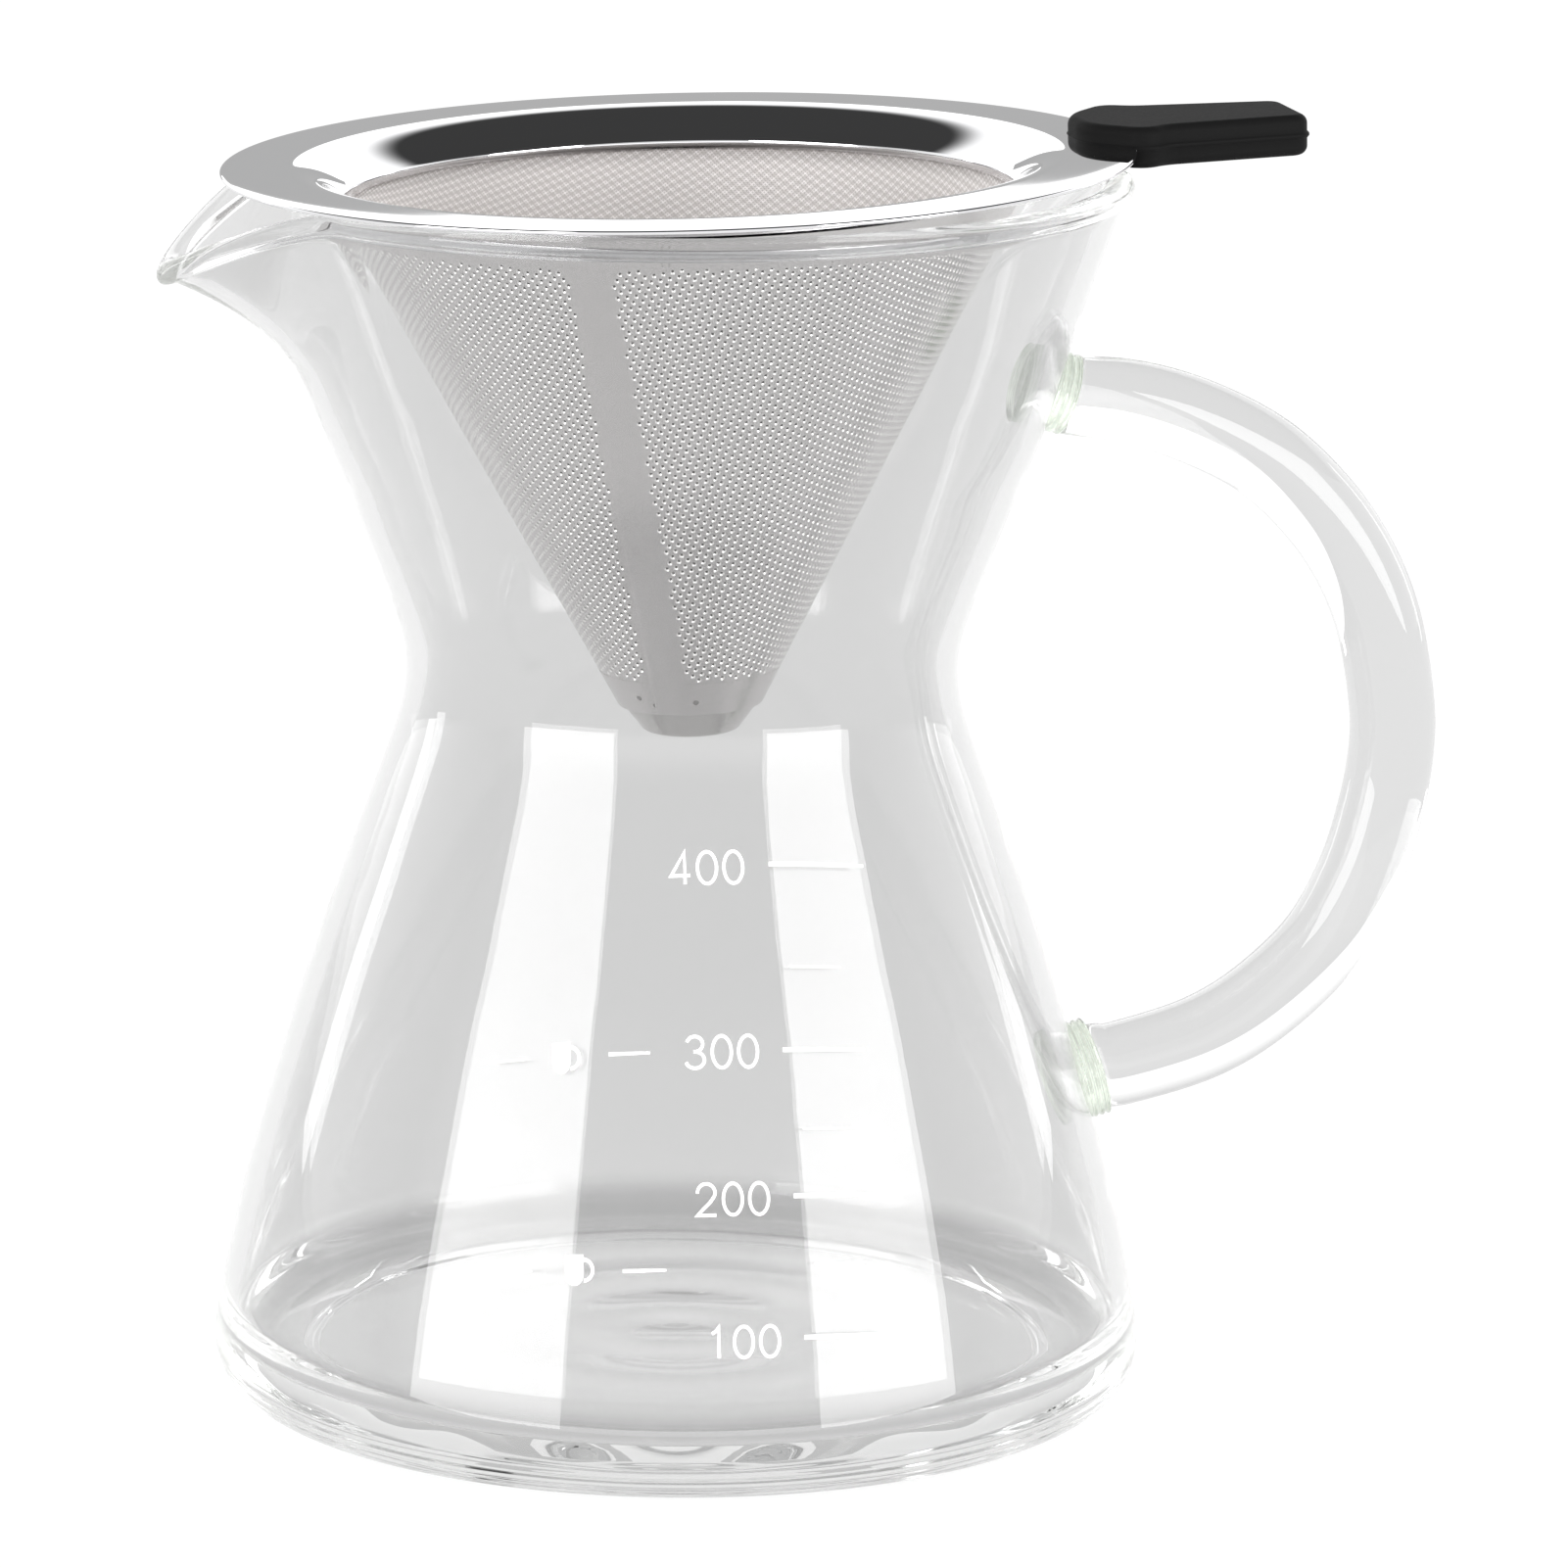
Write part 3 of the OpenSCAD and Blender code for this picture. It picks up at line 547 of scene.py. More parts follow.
def glass_handle(around=56, fine=10):
    """The bent rod. Its ends lie flat on the pads."""
    upper = joint_centre(UPPER_JOINT_H, UPPER_PAD_T + WELD_GAP)
    lower = joint_centre(LOWER_JOINT_H, LOWER_PAD_T + WELD_GAP)
    shares = np.array(HANDLE)
    start = lower + (upper - lower) * shares[:, 1:]
    places = np.stack([mix(start[:, 0], HANDLE_REACH, shares[:, 0]), start[:, 1]], axis=1)
    slopes = np.vstack([places[1] - places[0], (places[2:] - places[:-2]) / 2, places[-1] - places[-2]])
    stretches = len(places) - 1
    ends = [0, 0.004, 0.012, 0.025, 0.045, 0.07]
    t = np.concatenate([ends, np.arange(1, stretches * fine) / fine, [stretches - e for e in ends[::-1]]])
    middle = handle_line(t, places, slopes)
    ahead, behind = handle_line(t + 1e-3, places, slopes), handle_line(t - 1e-3, places, slopes)
    along = ahead - behind
    along /= np.linalg.norm(along, axis=1)[:, None]
    along[0], along[-1] = along[1], along[-2]
    share = t / stretches
    taper, square_over = 0.16, 5 / 3
    top, low = clamp01(share / taper), clamp01((1 - share) / taper)
    radius = np.where(top < 1, mix(ROD_TOP_D, ROD_D, np.sin(top * math.pi / 2)),
                      mix(ROD_LOW_D, ROD_D, np.sin(low * math.pi / 2))) / 2
    # Round the edges of both ends
    run = np.concatenate([[0], np.cumsum(np.linalg.norm(np.diff(middle, axis=0), axis=1))])
    gap = np.minimum(run, run[-1] - run)
    radius = radius - ROD_EDGE + np.sqrt(ROD_EDGE**2 - (ROD_EDGE - np.minimum(gap, ROD_EDGE)) ** 2)
    rings = []
    for i, (c, d, r) in enumerate(zip(middle, along, radius)):
        first = share[i] < 0.5
        n = joint_dir(UPPER_JOINT_H if first else LOWER_JOINT_H)
        end_dir = along[0] if first else along[-1]
        side_end = np.array([-end_dir[1], end_dir[0]])
        fade = clamp01(1 - (t[i] if first else stretches - t[i]) / square_over)
        turn = -fade * (side_end @ n) / (end_dir @ n)
        side = np.array([-d[1], d[0]])
        a = np.linspace(0, 2 * math.pi, around, endpoint=False)[:, None]
        p = c + r * np.cos(a) * (side + turn * d)
        rings.append(np.stack([p[:, 0], r * np.sin(a[:, 0]), p[:, 1]], axis=1))
    points = np.vstack(rings + [[[middle[0][0], 0, middle[0][1]], [middle[-1][0], 0, middle[-1][1]]]])
    faces, count = grid_faces(len(rings), around, close_columns=True), len(points)
    fan(faces, count - 2, list(range(around)))
    fan(faces, count - 1, list(range(count - 3, count - 3 - around, -1)))
    return closed_object("glass_handle", points, faces)


def joint_pad(name, z, t, d, around=96):
    """A pad of fused glass: its foot follows the wall and its side has fine drawn rings."""
    centre, n = joint_centre(z, t), joint_dir(z)
    side = np.array([-n[1], n[0]])
    s = np.linspace(0, 1, 37)
    radius = d / 2 - PAD_RING * (1 - np.cos(2 * math.pi * PAD_RINGS * s)) / 2
    columns = []
    for a in np.linspace(0, 2 * math.pi, around, endpoint=False):
        def place(r, h):
            p = centre + r * math.cos(a) * side + h * n
            return np.array([p[0], r * math.sin(a), p[1]])

        def wall_under(r):
            """Height over the pad's top at which it meets the wall, found by halving."""
            low, high = -2 * t, 0.0
            for _ in range(30):
                h = (low + high) / 2
                p = place(r, h)
                if math.hypot(p[0], p[1]) > wall_r(p[2]) + WELD_GAP:
                    high = h
                else:
                    low = h
            return high
        foot = wall_under(radius[0])
        column = [place(r, wall_under(r)) for r in np.linspace(0.1, 0.95, 8) * d / 2]
        column += [place(r, mix(foot, 0, u)) for r, u in zip(radius, s)]
        column += [place(r, 0) for r in np.linspace(0.95, 0.1, 8) * d / 2]
        columns.append(column)
    n_col = len(columns[0])
    points = np.array(columns).reshape(-1, 3)
    faces, count = grid_faces(around, n_col, close_rows=True), len(points)
    fan(faces, count, list(range(0, count, n_col)))
    fan(faces, count + 1, list(range(count - 1, 0, -n_col)))
    foot_mid, top_mid = points[0::n_col].mean(axis=0), points[n_col - 1::n_col].mean(axis=0)
    return closed_object(name, np.vstack([points, [foot_mid, top_mid]]), faces)


dress(glass_handle(), rod_glass, "carafe", "glass", "handle_rod")
dress(joint_pad("upper_joint_pad", UPPER_JOINT_H, UPPER_PAD_T, UPPER_PAD_D), joint_glass, "carafe",
      "glass_joint", "handle_upper_pad")
dress(joint_pad("lower_joint_pad", LOWER_JOINT_H, LOWER_PAD_T, LOWER_PAD_D), joint_glass, "carafe",
      "glass_joint", "handle_lower_pad")


# Printed scale: a flat decal wrapped on the lower chamber

def on_glass(u, v, lift):
    """Place on the glass of a decal point: u to the right of its middle line, v its height there."""
    lean = -wall_lean(v)
    reach = float(wall_r(v)) / math.sin(lean)
    z = v - u**2 / (2 * reach) * math.cos(lean)
    r = float(wall_r(v)) + (v - z) * math.tan(lean)
    a = PRINT_MIDDLE + u / r
    r = float(wall_r(z)) + lift
    return np.array([r * math.cos(a), r * math.sin(a), z])


def strip(u0, u1, v, line, parts, steps=14):
    """A printed line whose right end is a little thinner."""
    points, faces, thinner = [], [], 0.35
    for i in range(steps + 1):
        s = i / steps
        half = line / 2 * (1 - thinner * s**2)
        points += [(mix(u0, u1, s), v - half), (mix(u0, u1, s), v + half)]
        if i:
            faces.append((2 * i - 2, 2 * i, 2 * i + 1, 2 * i - 1))
    parts.append((points, faces))


# Middle lines of the figures, in a box one wide and one high
FIGURES = {
    "0": [arc(0.5, 0.5, 0.5, 90, 450, 41)],
    "1": [[(0.22, 0.78), (0.42, 0.86), (0.58, 1), (0.58, 0)]],
    "2": [[(0.03, 0.7)] + oval(0.5, 0.72, 0.46, 0.28, 170, -30)
          + [(0.68, 0.4), (0.3, 0.18), (0.02, 0), (1, 0)]],
    "3": [oval(0.48, 0.76, 0.42, 0.24, 165, -80) + [(0.4, 0.52)],
          [(0.4, 0.52)] + oval(0.48, 0.26, 0.49, 0.26, 85, -165)],
    "4": [[(0.72, 0), (0.72, 1), (0, 0.27), (1, 0.27)]],
}


def stroke(line, half):
    """A flat strip of even width along a line, with mitred corners."""
    p = np.array(line)
    closed = np.allclose(p[0], p[-1])
    before = np.vstack([p[-2:-1] if closed else 2 * p[:1] - p[1:2], p[:-1]])
    after = np.vstack([p[1:], p[1:2] if closed else 2 * p[-1:] - p[-2:-1]])
    u = (p - before) / np.linalg.norm(p - before, axis=1)[:, None]
    w = (after - p) / np.linalg.norm(after - p, axis=1)[:, None]
    side = np.stack([-(u + w)[:, 1], (u + w)[:, 0]], axis=1)
    side /= np.linalg.norm(side, axis=1)[:, None]
    narrowest = 0.45
    reach = half / np.maximum(narrowest, np.abs((side * np.stack([-u[:, 1], u[:, 0]], axis=1)).sum(1)))
    points = []
    for q, d, r in zip(p, side, reach):
        points += [tuple(q - r * d), tuple(q + r * d)]
    return points, [(2 * i, 2 * i + 2, 2 * i + 3, 2 * i + 1) for i in range(len(p) - 1)]


def numeral(text, u, v, parts):
    """A number in plain light figures, its left end and middle height on the decal."""
    height, width, advance, half = 0.0034, 0.00215, 0.00298, 0.00018
    for k, figure in enumerate(text):
        for line in FIGURES[figure]:
            placed = [(u + half + k * advance + x * width, v + (y - 0.5) * height) for x, y in line]
            parts.append(stroke(placed, half))


def cup_icon(u, v, size, parts):
    """A filled coffee cup seen from the side: a round-bottomed bowl with a D handle on its right."""
    half, round_from, bottom = size * 0.31, v - size * 0.1, size * 0.4
    handle_out, handle_in, handle_squash = size * 0.4, size * 0.28, 0.9
    bowl = [(u - half, v + size / 2), (u - half, round_from)]
    bowl += [(u + half * math.cos(a), round_from + bottom * math.sin(a))
             for a in np.linspace(math.pi, 2 * math.pi, 15)[1:-1]]
    bowl += [(u + half, round_from), (u + half, v + size / 2)]
    parts.append((bowl, [tuple(range(len(bowl)))]))
    ring, faces = [], []
    for i, a in enumerate(np.linspace(-math.pi / 2, math.pi / 2, 15)):
        for r in (handle_out, handle_in):
            ring.append((u + half + r * handle_squash * math.cos(a), v + r * math.sin(a)))
        if i:
            faces.append((2 * i - 2, 2 * i, 2 * i + 1, 2 * i - 1))
    parts.append((ring, faces))


def printed_scale():
    """The scale. Its lines are given by both ends and a height, and the rest by place and height."""
    parts = []
    long_lines = [(0.0056, 0.0174, 0.0699), (0.0065, 0.0164, 0.0501),
                  (0.0073, 0.0174, 0.0344), (0.0082, 0.0181, 0.019)]
    short_lines = [(0.0076, 0.0138, 0.059), (0.0086, 0.0147, 0.0416), (0.0096, 0.0156, 0.027)]
    left_lines = [(-0.0132, -0.0085, 0.0501), (-0.0122, -0.0073, 0.0267)]
    far_lines = [(-0.0278, -0.0231, 0.05), (-0.0256, -0.0227, 0.0269)]
    line_shares = [(long_lines, 1), (short_lines, 0.5), (left_lines, 0.8), (far_lines, 0.6)]
    for lines, share in line_shares:
        for u0, u1, v in lines:
            strip(u0, u1, v, share * PRINT_LINE, parts)
    numbers = [("400", -0.0057, 0.0696), ("300", -0.0047, 0.05), ("200", -0.0039, 0.0342),
               ("100", -0.003, 0.0187)]
    for text, u, v in numbers:
        numeral(text, u, v, parts)
    cups, cup_size = [(-0.0187, 0.0499), (-0.0177, 0.0269)], 0.0034
    for u, v in cups:
        cup_icon(u, v, cup_size, parts)
    points, faces = [], []
    for flat, polygons in parts:
        base, n = len(points), len(flat)
        for lift in (PRINT_GAP, PRINT_GAP + PRINT_T):
            points += [on_glass(u, v, lift) for u, v in flat]
        edges = {}
        for polygon in polygons:
            faces.append(tuple(base + n + i for i in polygon))
            faces.append(tuple(base + i for i in reversed(polygon)))
            for a, b in zip(polygon, polygon[1:] + polygon[:1]):
                edges[(a, b)] = edges.get((a, b), 0) + 1
        for a, b in edges:
            if (b, a) not in edges:
                faces.append((base + a, base + b, base + n + b, base + n + a))
    return mesh_object("printed_scale", points, faces, smooth=False)


dress(printed_scale(), white_print, "carafe", "white_print", "measuring_scale")


# Filter: its own frame, tilted so that it rests on the rim and on the grip's underside

crest_r = MOUTH_R + BEAD_OUT - BEAD_HALF
half_spout = math.radians(SPOUT_HALF_ANGLE)
shoulder_x = crest_r * math.cos(half_spout)
shoulder_fall = RIM_FALL * (1 + math.cos(half_spout)) / 2
filter_tilt = math.atan(((GRIP_T - FLANGE_SHEET) / 2 + shoulder_fall) / (shoulder_x + crest_r))
flange_h = (RIM_H - shoulder_fall + SEAT_GAP + (shoulder_x - FILTER_SHIFT) * math.tan(filter_tilt)
            + FLANGE_SHEET / math.cos(filter_tilt))
filter_frame = Matrix.Translation((-FILTER_SHIFT, 0, flange_h)) @ Matrix.Rotation(-filter_tilt, 4, "Y")

TAN_LEAN, COS_LEAN, SIN_LEAN = math.tan(CONE_LEAN), math.cos(CONE_LEAN), math.sin(CONE_LEAN)
CONE_DEPTH = (CONE_R - CONE_TIP_R) / TAN_LEAN
MESH_IN = (CONE_SHEET + WELD_GAP) / COS_LEAN
COLLAR_IN = MESH_IN + (MESH_T + WELD_GAP) / COS_LEAN
COLLAR_FACE = COLLAR_IN + FLANGE_SHEET / COS_LEAN
FLAT_R = CONE_R - COLLAR_FACE + LIP_R * (1 - SIN_LEAN) / COS_LEAN
LIP_UNDER = LIP_R - FLANGE_SHEET


def cone_at(depth):
    """Outer radius of the cone at a depth below the flange."""
    return CONE_R - depth * TAN_LEAN


def in_filter(obj, material, slot, *nodes):
    """Dresses a piece that was made upright and sets it into the tilted filter."""
    obj.data.transform(filter_frame)
    dress(obj, material, "filter", slot, *nodes)


def lip_arc(r, steps=24):
    """Section of the rolled lip, from the flat flange round to the collar."""
    a = np.linspace(math.pi / 2, math.pi - CONE_LEAN, steps + 1)
    return [(FLAT_R + r * math.cos(t), r * math.sin(t) - LIP_R) for t in a]


def flange_form():
    """Flange, rolled lip and collar: one pressed sheet that falls away a little to its edge."""
    bottom = [(cone_at(COLLAR_DEPTH) - face, -COLLAR_DEPTH) for face in (COLLAR_FACE, COLLAR_IN)]
    fall, width, flat_to = math.tan(FLANGE_FALL), FLANGE_R - FLAT_R, 0.985
    flat = [(FLAT_R + width * s, -fall * width * s**7 / 7) for s in np.linspace(flat_to, 0, 40)]
    profile = [(FLANGE_R - FLANGE_EDGE, -FLANGE_SHEET), (FLANGE_R, FLANGE_EDGE - FLANGE_SHEET),
               (FLANGE_R, flat[0][1] - FLANGE_EDGE / 2)]
    profile += flat + lip_arc(LIP_R)[1:] + bottom + lip_arc(LIP_UNDER)[::-1]
    return revolve("steel_flange", profile, steps=320)


def tab_form():
    """Steel tab with its hollow corners, from the flange's edge into the sleeve."""
    end = FLANGE_R + GRIP_LEN - GRIP_WALL
    corner = TAB_HALF / 3
    cy = TAB_HALF + TAB_FILLET
    cx = math.sqrt((FLANGE_R + TAB_FILLET) ** 2 - cy**2)
    side = arc(cx, cy, TAB_FILLET, 180 + math.degrees(math.atan2(cy, cx)), 270, 24)
    side += arc(end - corner, TAB_HALF - corner, corner, 90, 0, 8)
    far = math.degrees(math.atan2(side[0][1], side[0][0]))
    outline = side + [(x, -y) for x, y in side[::-1]] + arc(0, 0, FLANGE_R - TAB_LAP, -far, far, 24)
    n = len(outline)
    top, low = -TAB_SUNK, TAB_RAISED - FLANGE_SHEET
    points = [(x, y, top) for x, y in outline] + [(x, y, low) for x, y in outline]
    faces = [tuple(range(n)), tuple(range(2 * n - 1, n - 1, -1))]
    faces += [(k, (k + 1) % n, n + (k + 1) % n, n + k) for k in range(n)]
    return closed_object("steel_tab", points, faces, smooth=False)


def perforated_sheet():
    """The cone's sheet: a staggered grid of round holes punched flat, then rolled up.

    Each hole has a cell of eight corners. Also gives, for each face, whether it is in a hole.
    """
    apex = CONE_R / TAN_LEAN
    spread = math.pi * SIN_LEAN
    outer = (apex - CONE_TOP) / COS_LEAN
    inner = (apex - CONE_DEPTH) / COS_LEAN
    holes_out, holes_in = (apex - HOLES_FROM) / COS_LEAN, (apex - HOLES_TO) / COS_LEAN
    rows, columns = int(outer / HOLE_ROW) + 1, int(outer / HOLE_PITCH) + 1
    j, i = np.meshgrid(np.arange(-rows, rows + 1), np.arange(-columns, columns + 1), indexing="ij")
    a, b = (2 * i + j % 2).ravel(), (2 * j).ravel()
    half = np.array([HOLE_PITCH / 2, HOLE_ROW / 2])
    step = np.array([(1, 0), (1, 1), (0, 1), (-1, 1), (-1, 0), (-1, -1), (0, -1), (1, -1)])
    centre = np.stack([a, b], axis=1)
    corners = (centre[:, None, :] + step[None]) * half
    rho, theta = np.hypot(corners[..., 0], corners[..., 1]), np.arctan2(corners[..., 1], corners[..., 0])
    keep = (rho.max(1) < outer) & (rho.min(1) > inner) & (np.abs(theta).max(1) < spread)
    centre, corners = centre[keep], corners[keep]
    middle = centre * half
    rho, theta = np.hypot(middle[:, 0], middle[:, 1]), np.arctan2(middle[:, 1], middle[:, 0])
    seam, seam_margin = rho * np.sin(np.clip(spread - np.abs(theta), 0, math.pi / 2)), 1.3
    punched = ((rho < holes_out - HOLE_R) & (rho > holes_in + HOLE_R)
               & (seam > SEAM_W / 2 + seam_margin * HOLE_R))

    def rolled(flat, inset=0.0):
        rho, theta = np.hypot(flat[:, 0], flat[:, 1]), np.arctan2(flat[:, 1], flat[:, 0])
        turn = SEAM_AT + math.pi + theta / SIN_LEAN
        r, depth = rho * SIN_LEAN - inset * COS_LEAN, apex - rho * COS_LEAN - inset * SIN_LEAN
        return np.stack([r * np.cos(turn), r * np.sin(turn), -depth], axis=1)

    cells = (centre[:, None, :] + step[None]).reshape(-1, 2)
    lattice, index = np.unique(cells, axis=0, return_inverse=True)
    index = index.reshape(-1, 8)
    points = [rolled(lattice * half)]
    count = len(lattice)
    ring_dirs = step / np.linalg.norm(step, axis=1)[:, None]
    faces = [tuple(index[k]) for k in np.flatnonzero(~punched)]
    holes = np.flatnonzero(punched)
    rim = (middle[holes][:, None, :] + HOLE_R * ring_dirs[None]).reshape(-1, 2)
    bore = (middle[holes][:, None, :] + HOLE_BORE * ring_dirs[None]).reshape(-1, 2)
    points += [rolled(rim), rolled(rim), rolled(bore, HOLE_BEVEL)]
    size = len(rim)
    for n, k in enumerate(holes):
        base = count + 8 * n
        for m in range(8):
            o = (m + 1) % 8
            faces.append((index[k][m], index[k][o], base + o, base + m))
            faces.append((base + size + m, base + size + o, base + 2 * size + o, base + 2 * size + m))
    faces = [tuple(int(v) for v in face) for face in faces]
    obj = mesh_object("perforated_cone_sheet", np.vstack(points), faces)
    bevels = [max(face.vertices) >= count + size for face in obj.data.polygons]
    return obj, bevels


def band(name, top, bottom):
    """Plain band of the cone between two depths, with thin edges."""
    corners = [(top, BAND_PROUD), (bottom, BAND_PROUD), (bottom, -CONE_SHEET), (top, -CONE_SHEET)]
    obj = revolve(name, [(cone_at(depth) + out / COS_LEAN, -depth) for depth, out in corners])
    obj.data.polygons.foreach_set("use_smooth", [False] * len(obj.data.polygons))
    return obj


def seam_strip():
    """Plain strip where the rolled sheet's edges lap, from the top band to the tip."""
    rows, across, edge = 80, 12, 0.49
    points = []
    for depth in np.linspace(CONE_TOP, CONE_DEPTH, rows):
        r = cone_at(depth)
        for s in np.linspace(-0.5, 0.5, across):
            out = SEAM_PROUD if abs(s) < edge else -SEAM_PROUD
            a = SEAM_AT + s * SEAM_W / r
            points.append(((r + out) * math.cos(a), (r + out) * math.sin(a), -depth))
    return mesh_object("seam_strip", points, grid_faces(rows, across))


def mesh_form():
    """The inner cone of woven mesh, a plain thin shell."""
    depths = np.linspace(LIP_R - LIP_UNDER * SIN_LEAN + WELD_GAP, CONE_DEPTH - MESH_T, 24)
    inside = MESH_IN + MESH_T / COS_LEAN
    profile = [(cone_at(d) - MESH_IN, -d) for d in depths]
    profile += [(cone_at(d) - inside, -d) for d in depths[::-1]]
    return revolve("woven_mesh_cone", profile)


def cup_profile(t):
    """The tip cup's skirt, side and bottom, at a depth t inside its outer face."""
    start = CONE_DEPTH + CUP_SHEET
    depth = CONE_DEPTH + CUP_H
    r0 = cone_at(start) - COLLAR_IN
    foot = r0 - (depth - start) * math.tan(CUP_LEAN)
    turn = math.pi / 2 - CUP_LEAN
    c = (foot - CUP_CORNER * math.tan(turn / 2), CUP_CORNER - depth)
    r = CUP_CORNER - t
    skirt = CONE_DEPTH - CUP_LAP
    points = [(cone_at(skirt) - COLLAR_IN - t / COS_LEAN, -skirt), (r0 - t / COS_LEAN, -start)]
    points += [(c[0] + r * math.cos(a), c[1] + r * math.sin(a))
               for a in np.linspace(-CUP_LEAN, -math.pi / 2, 16)]
    return points + [(0, t - depth)]


def cup_form():
    return revolve("tip_cup_form", cup_profile(0)[::-1] + cup_profile(CUP_SHEET), steps=128)


def weld_marks():
    """Spot welds: groups of four small dents round the collar, and three on the tip's band."""
    points, faces = [], []

    def disc(turn, depth, size, corners=12):
        r = cone_at(depth) + SPOT_PROUD
        faces.append(tuple(range(len(points), len(points) + corners)))
        for k in range(corners):
            a = 2 * math.pi * k / corners
            du, dv = size * math.cos(a), size * math.sin(a)
            q, out = turn + du / r, r - dv * SIN_LEAN
            points.append((out * math.cos(q), out * math.sin(q), -depth - dv * COS_LEAN))

    for turn, depth in COLLAR_WELDS:
        for du in (-SPOT_STEP, SPOT_STEP):
            for dv in (-SPOT_STEP, SPOT_STEP):
                disc(math.radians(turn) + du / cone_at(depth), depth + dv, SPOT_R)
    for turn, depth in TIP_WELDS:
        disc(math.radians(turn), depth, TIP_SPOT_R)
    return mesh_object("weld_marks", points, faces, smooth=False)


in_filter(flange_form(), flange_steel, "flange_steel", "filter_flange")
in_filter(tab_form(), flange_steel, "flange_steel")
sheet, bevels = perforated_sheet()
in_filter(sheet, cone_steel, "cone_steel", "perforated_cone")
# The holes' bevels get the paler steel: painted highlight.
sheet.data.materials.append(hole_highlight_steel)
sheet.data.polygons.foreach_set("material_index", bevels)
in_filter(band("cone_top_band", CONE_TOP, HOLES_FROM), cone_steel, "cone_steel")
in_filter(band("cone_tip_band", HOLES_TO, CONE_DEPTH), cone_steel, "cone_steel")
in_filter(seam_strip(), cone_steel, "cone_steel")
in_filter(mesh_form(), mesh_steel, "mesh_steel", "mesh_cone")
in_filter(cup_form(), cup_steel, "cup_steel", "tip_cup")
in_filter(weld_marks(), weld_steel, "cone_steel")


# Grip

def corner_arc(corners, i, inset, steps):
    """Round corner of the sleeve's outline, drawn in by an inset. A negative radius is a hollow one."""
    v, radius = np.array(corners[i][:2]), corners[i][2]
    before, after = np.array(corners[i - 1][:2]), np.array(corners[(i + 1) % len(corners)][:2])
    u, w = unit(v - before), unit(after - v)
    turn = math.asin(u[0] * w[1] - u[1] * w[0])
    r, side = abs(radius), math.copysign(1, radius)
    left = np.array([-u[1], u[0]])
    middle = v - r * math.tan(abs(turn) / 2) * u + side * r * left
    points = []
    for k in range(steps + 1):
        a = turn * k / steps
        out = np.array([left[0] * math.cos(a) - left[1] * math.sin(a),
                        left[0] * math.sin(a) + left[1] * math.cos(a)])
        points.append(middle - side * (r - side * inset) * out)
    return points


def grip_form(steps=14, edges=10):
    """The sleeve: one outline of round corners, drawn in level by level to its parting line."""
    end, nose, neck = FLANGE_R + GRIP_LEN, FLANGE_R - GRIP_OVER, FLANGE_R + GRIP_NARROW
    tail_corner, neck_corner, head_corner, nose_corner = 0.0022, -0.005, 0.003, 0.009
    side = [(end, GRIP_TAIL, tail_corner), (neck, GRIP_NECK, neck_corner),
            (FLANGE_R, GRIP_HEAD, head_corner), (nose, 0.4 * GRIP_HEAD, nose_corner)]
    corners = side + [(x, -y, r) for x, y, r in side[::-1]]
    upper = [(GRIP_LINE_HALF * 0.3, -GRIP_LINE), (GRIP_LINE_HALF * 0.6, -GRIP_LINE * 0.6),
             (GRIP_LINE_HALF, 0)]
    for k in range(edges, -1, -1):
        a = math.pi / 2 * k / edges
        upper.append((GRIP_T / 2 - GRIP_EDGE * (1 - math.cos(a)), GRIP_EDGE * (1 - math.sin(a))))
    levels = [(-z, i) for z, i in upper[::-1]] + upper
    points = []
    for z, inset in levels:
        for i in range(len(corners)):
            points += [(p[0], p[1], z) for p in corner_arc(corners, i, inset, steps)]
    count = len(corners) * (steps + 1)
    faces = grid_faces(len(levels), count, close_columns=True)
    top = (len(levels) - 1) * count
    faces.append(tuple(range(count - 1, -1, -1)))
    faces.append(tuple(range(top, top + count)))
    obj = closed_object("silicone_grip", points, faces)
    obj.data.transform(Matrix.Translation((0, 0, -FLANGE_SHEET / 2)))
    for face in obj.data.polygons:
        if len(face.vertices) > 4:
            face.use_smooth = False
    return obj


in_filter(grip_form(), silicone, "silicone", "grip_sleeve")


# Studio

def floor():
    """The white table, just under the foot. It shines a little itself, so that it stays white."""
    size, z = 8, -0.0001
    points = [(-size, -size, z), (size, -size, z), (size, size, z), (-size, size, z)]
    obj = mesh_object("studio_floor", points, [(0, 1, 2, 3)], smooth=False)
    material = surface("pale_floor", (0.1, 0.1, 0.1), 0.9, grain=30, depth=0.00001,
                       Emission_Strength=0.95, Emission_Color=(1, 1, 1, 1), Specular_IOR_Level=0.0)
    obj.data.materials.append(material)


def strip_light(name, from_camera, width, brightness):
    """Tall softbox: its reflection is a pale strip on the lower chamber."""
    distance, low, high = 1.3, 0.02, 0.95
    data = bpy.data.lights.new(name, "AREA")
    data.shape = "RECTANGLE"
    data.size, data.size_y = width, high - low
    data.energy = brightness * math.pi * width * (high - low)
    obj = bpy.data.objects.new(name, data)
    a = math.radians(CAMERA_AZIMUTH + from_camera)
    obj.location = (distance * math.cos(a), distance * math.sin(a), (low + high) / 2)
    inwards = Vector((-math.cos(a), -math.sin(a), 0))
    obj.rotation_euler = inwards.to_track_quat("-Z", "Y").to_euler()
    bpy.context.scene.collection.objects.link(obj)


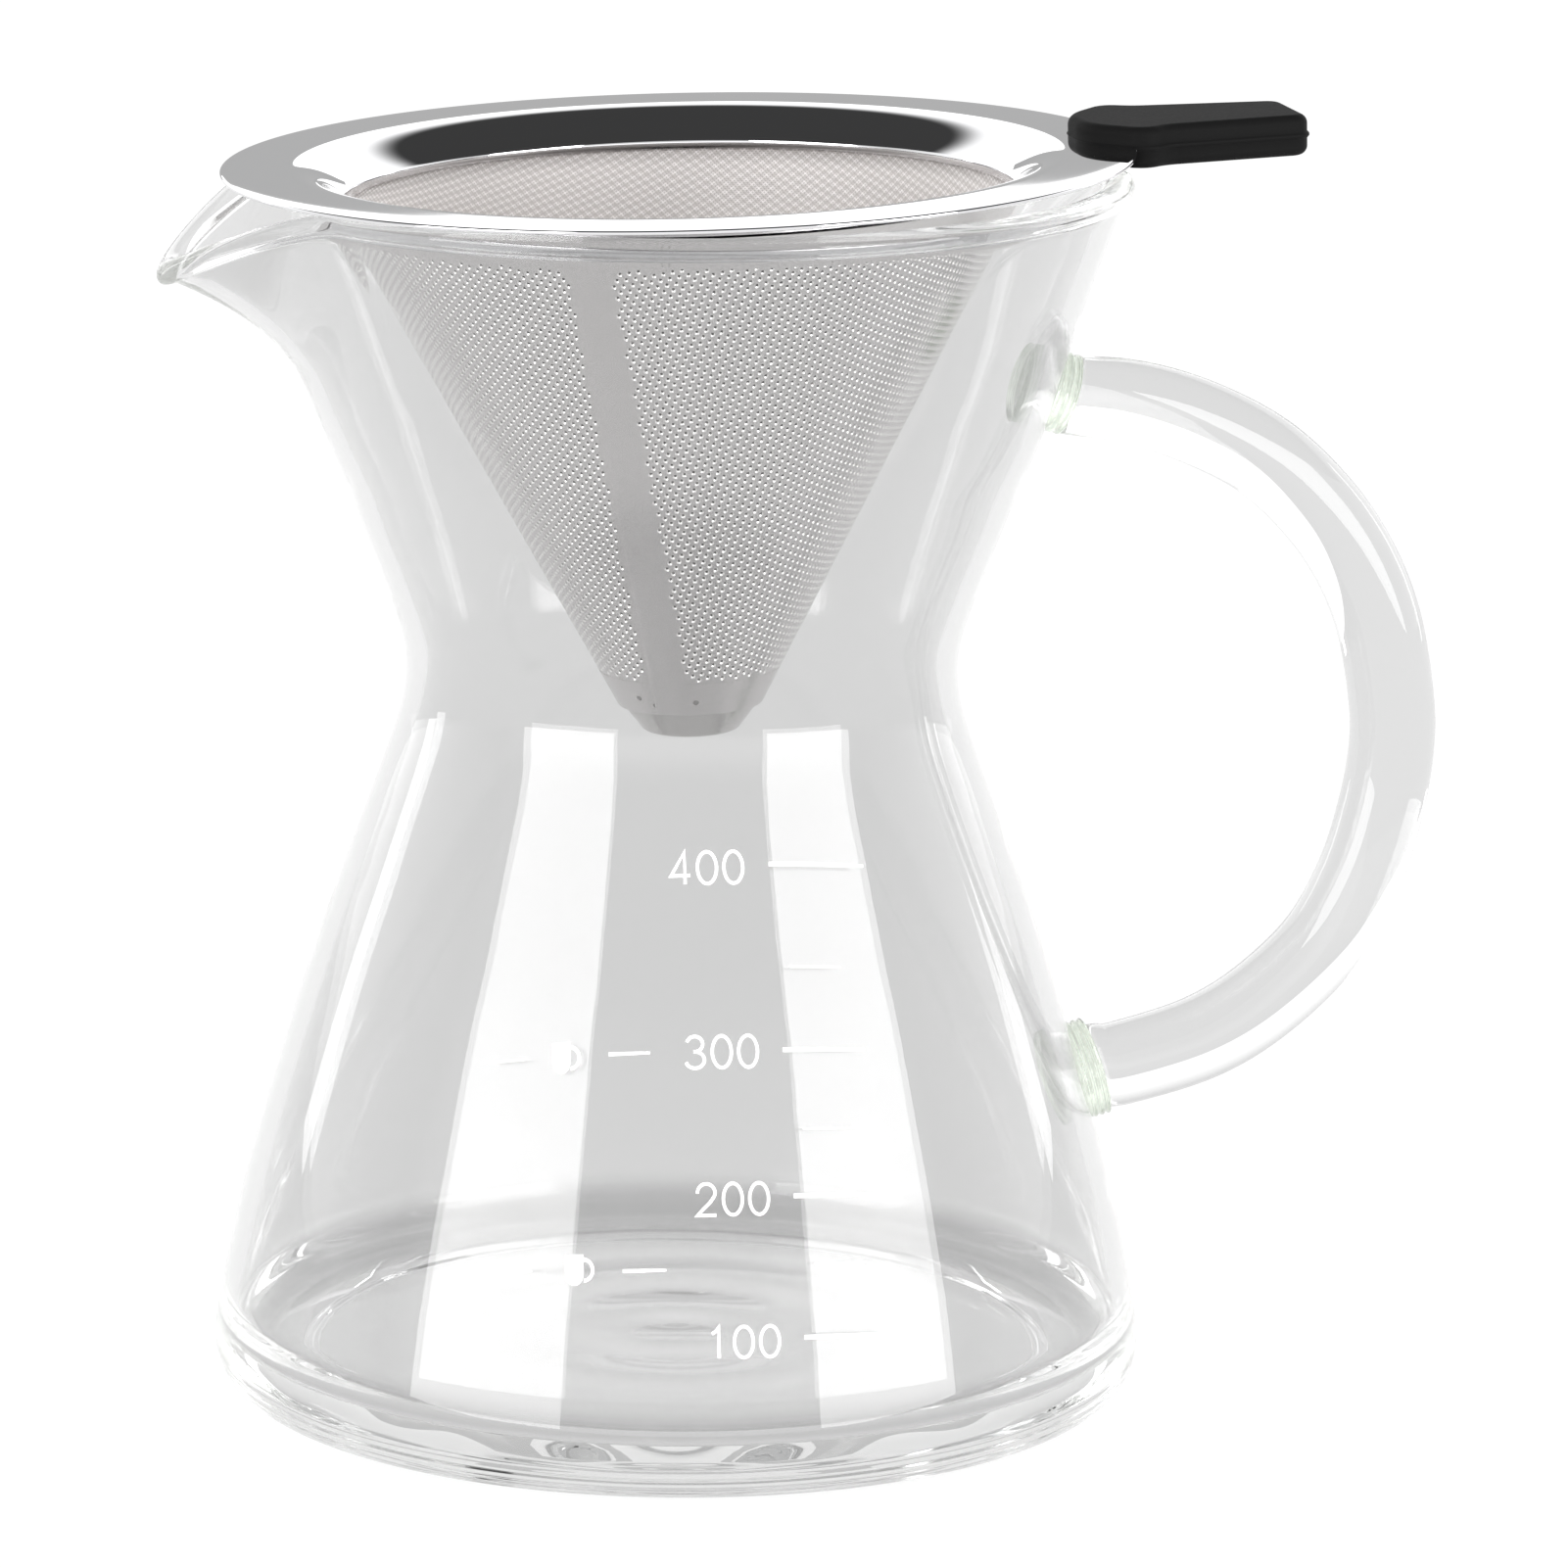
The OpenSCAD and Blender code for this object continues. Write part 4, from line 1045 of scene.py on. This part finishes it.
def reflector(name, corners, height, near_light, far_light, fade_from=1.0, fade_to=2.0):
    """A card that only reflections see, so that it neither shades the set nor darkens the glass.

    Its corners are (to the side, towards the back, up). Its light changes towards its back, and
    the change begins a little earlier at its sides.
    """
    obj = mesh_object(name, corners, [(0, 1, 2, 3)], smooth=False)
    obj.location = (0, 0, height)
    obj.rotation_euler = (0, 0, CAMERA_SIDE + math.pi / 2)
    material, nodes, links = node_material(name + "_paint")
    shader = nodes["Principled BSDF"]
    shader.inputs["Base Color"].default_value = (0, 0, 0, 1)
    shader.inputs["Roughness"].default_value = 1
    shader.inputs["Specular IOR Level"].default_value = 0
    shader.inputs["Emission Color"].default_value = (1, 1, 1, 1)
    tree, earlier_aside = material.node_tree, 0.3
    x, y, _ = axes(tree, nodes.new("ShaderNodeTexCoord").outputs["Object"])
    back = calc(tree, "MULTIPLY_ADD", calc(tree, "ABSOLUTE", x), earlier_aside, y)
    fade = ramp(tree, back, fade_from, fade_to, near_light, far_light, "SMOOTHSTEP")
    links.new(fade, shader.inputs["Emission Strength"])
    obj.data.materials.append(material)
    obj.visible_camera = obj.visible_diffuse = obj.visible_transmission = obj.visible_shadow = False


def black_card():
    """Over the set: the dark band in the collar."""
    side, front, back, height = 1.25, 0.75, 0.9, 0.645
    dark, pale, fade_from = 0.055, 1.35, 0.6
    corners = [(-side, -front, 0), (side, -front, 0), (side, back, 0), (-side, back, 0)]
    reflector("black_card", corners, height, dark, pale, fade_from, back)


def grey_card():
    """Far behind, up to a little above the table: the flange mirrors it, and white above it."""
    side, far, top, grey = 1.5, 4, 0.8035, 0.5
    corners = [(-side, far, 0), (side, far, 0), (side, far, top), (-side, far, top)]
    reflector("grey_card", corners, 0, grey, grey)


def studio_world():
    """White walls all round, a little less light from high up and from behind the camera."""
    world = bpy.data.worlds.new("studio")
    bpy.context.scene.world = world
    world.use_nodes = True
    tree = world.node_tree
    nodes, links = tree.nodes, tree.links
    place = nodes.new("ShaderNodeTexCoord").outputs["Generated"]
    towards = nodes.new("ShaderNodeVectorMath")
    towards.operation = "DOT_PRODUCT"
    towards.inputs[1].default_value = (math.cos(CAMERA_SIDE), math.sin(CAMERA_SIDE), 0)
    links.new(place, towards.inputs[0])
    camera_side, up = towards.outputs["Value"], axes(tree, place)[2]
    walls = ramp(tree, camera_side, -0.6, 0.2, WALL_LIGHT, FRONT_LIGHT)
    low_front = calc(tree, "MULTIPLY", ramp(tree, up, 0.17, 0.4, 1, 0),
                     ramp(tree, camera_side, 0.2, 0.5, 0, WALL_LIGHT - FRONT_LIGHT))
    overhead = ramp(tree, up, 0.25, 0.7, 1, 0.6)
    light = calc(tree, "MULTIPLY", calc(tree, "ADD", walls, low_front), overhead)
    links.new(light, nodes["Background"].inputs["Strength"])
    nodes["Background"].inputs["Color"].default_value = (1, 1, 1, 1)


def photo_camera():
    """The photo's view: a long lens, a little above the rim, the handle to the right."""
    place, aim = Vector((-0.20146, -0.94778, 0.28495)), Vector((0.00799, -0.01897, 0.07502))
    roll = math.radians(0.67)
    data = bpy.data.cameras.new("photo_camera")
    data.sensor_width, data.lens = 36, 195.6
    data.clip_start, data.clip_end = 0.01, 50
    obj = bpy.data.objects.new("photo_camera", data)
    turn = (aim - place).to_track_quat("-Z", "Y").to_matrix().to_4x4()
    obj.matrix_world = Matrix.Translation(place) @ turn @ Matrix.Rotation(roll, 4, "Z")
    bpy.context.scene.collection.objects.link(obj)
    bpy.context.scene.camera = obj


floor()
black_card()
grey_card()
for light_name, (from_camera, width, brightness) in LIGHTS.items():
    strip_light(light_name, from_camera, width, brightness)
studio_world()
photo_camera()
bpy.context.scene.view_settings.view_transform = "Standard"
# Light is bent many times in the thick base and in the rim bead
light_paths = bpy.context.scene.cycles
light_paths.max_bounces = 256
light_paths.transmission_bounces = 256
light_paths.glossy_bounces = 256
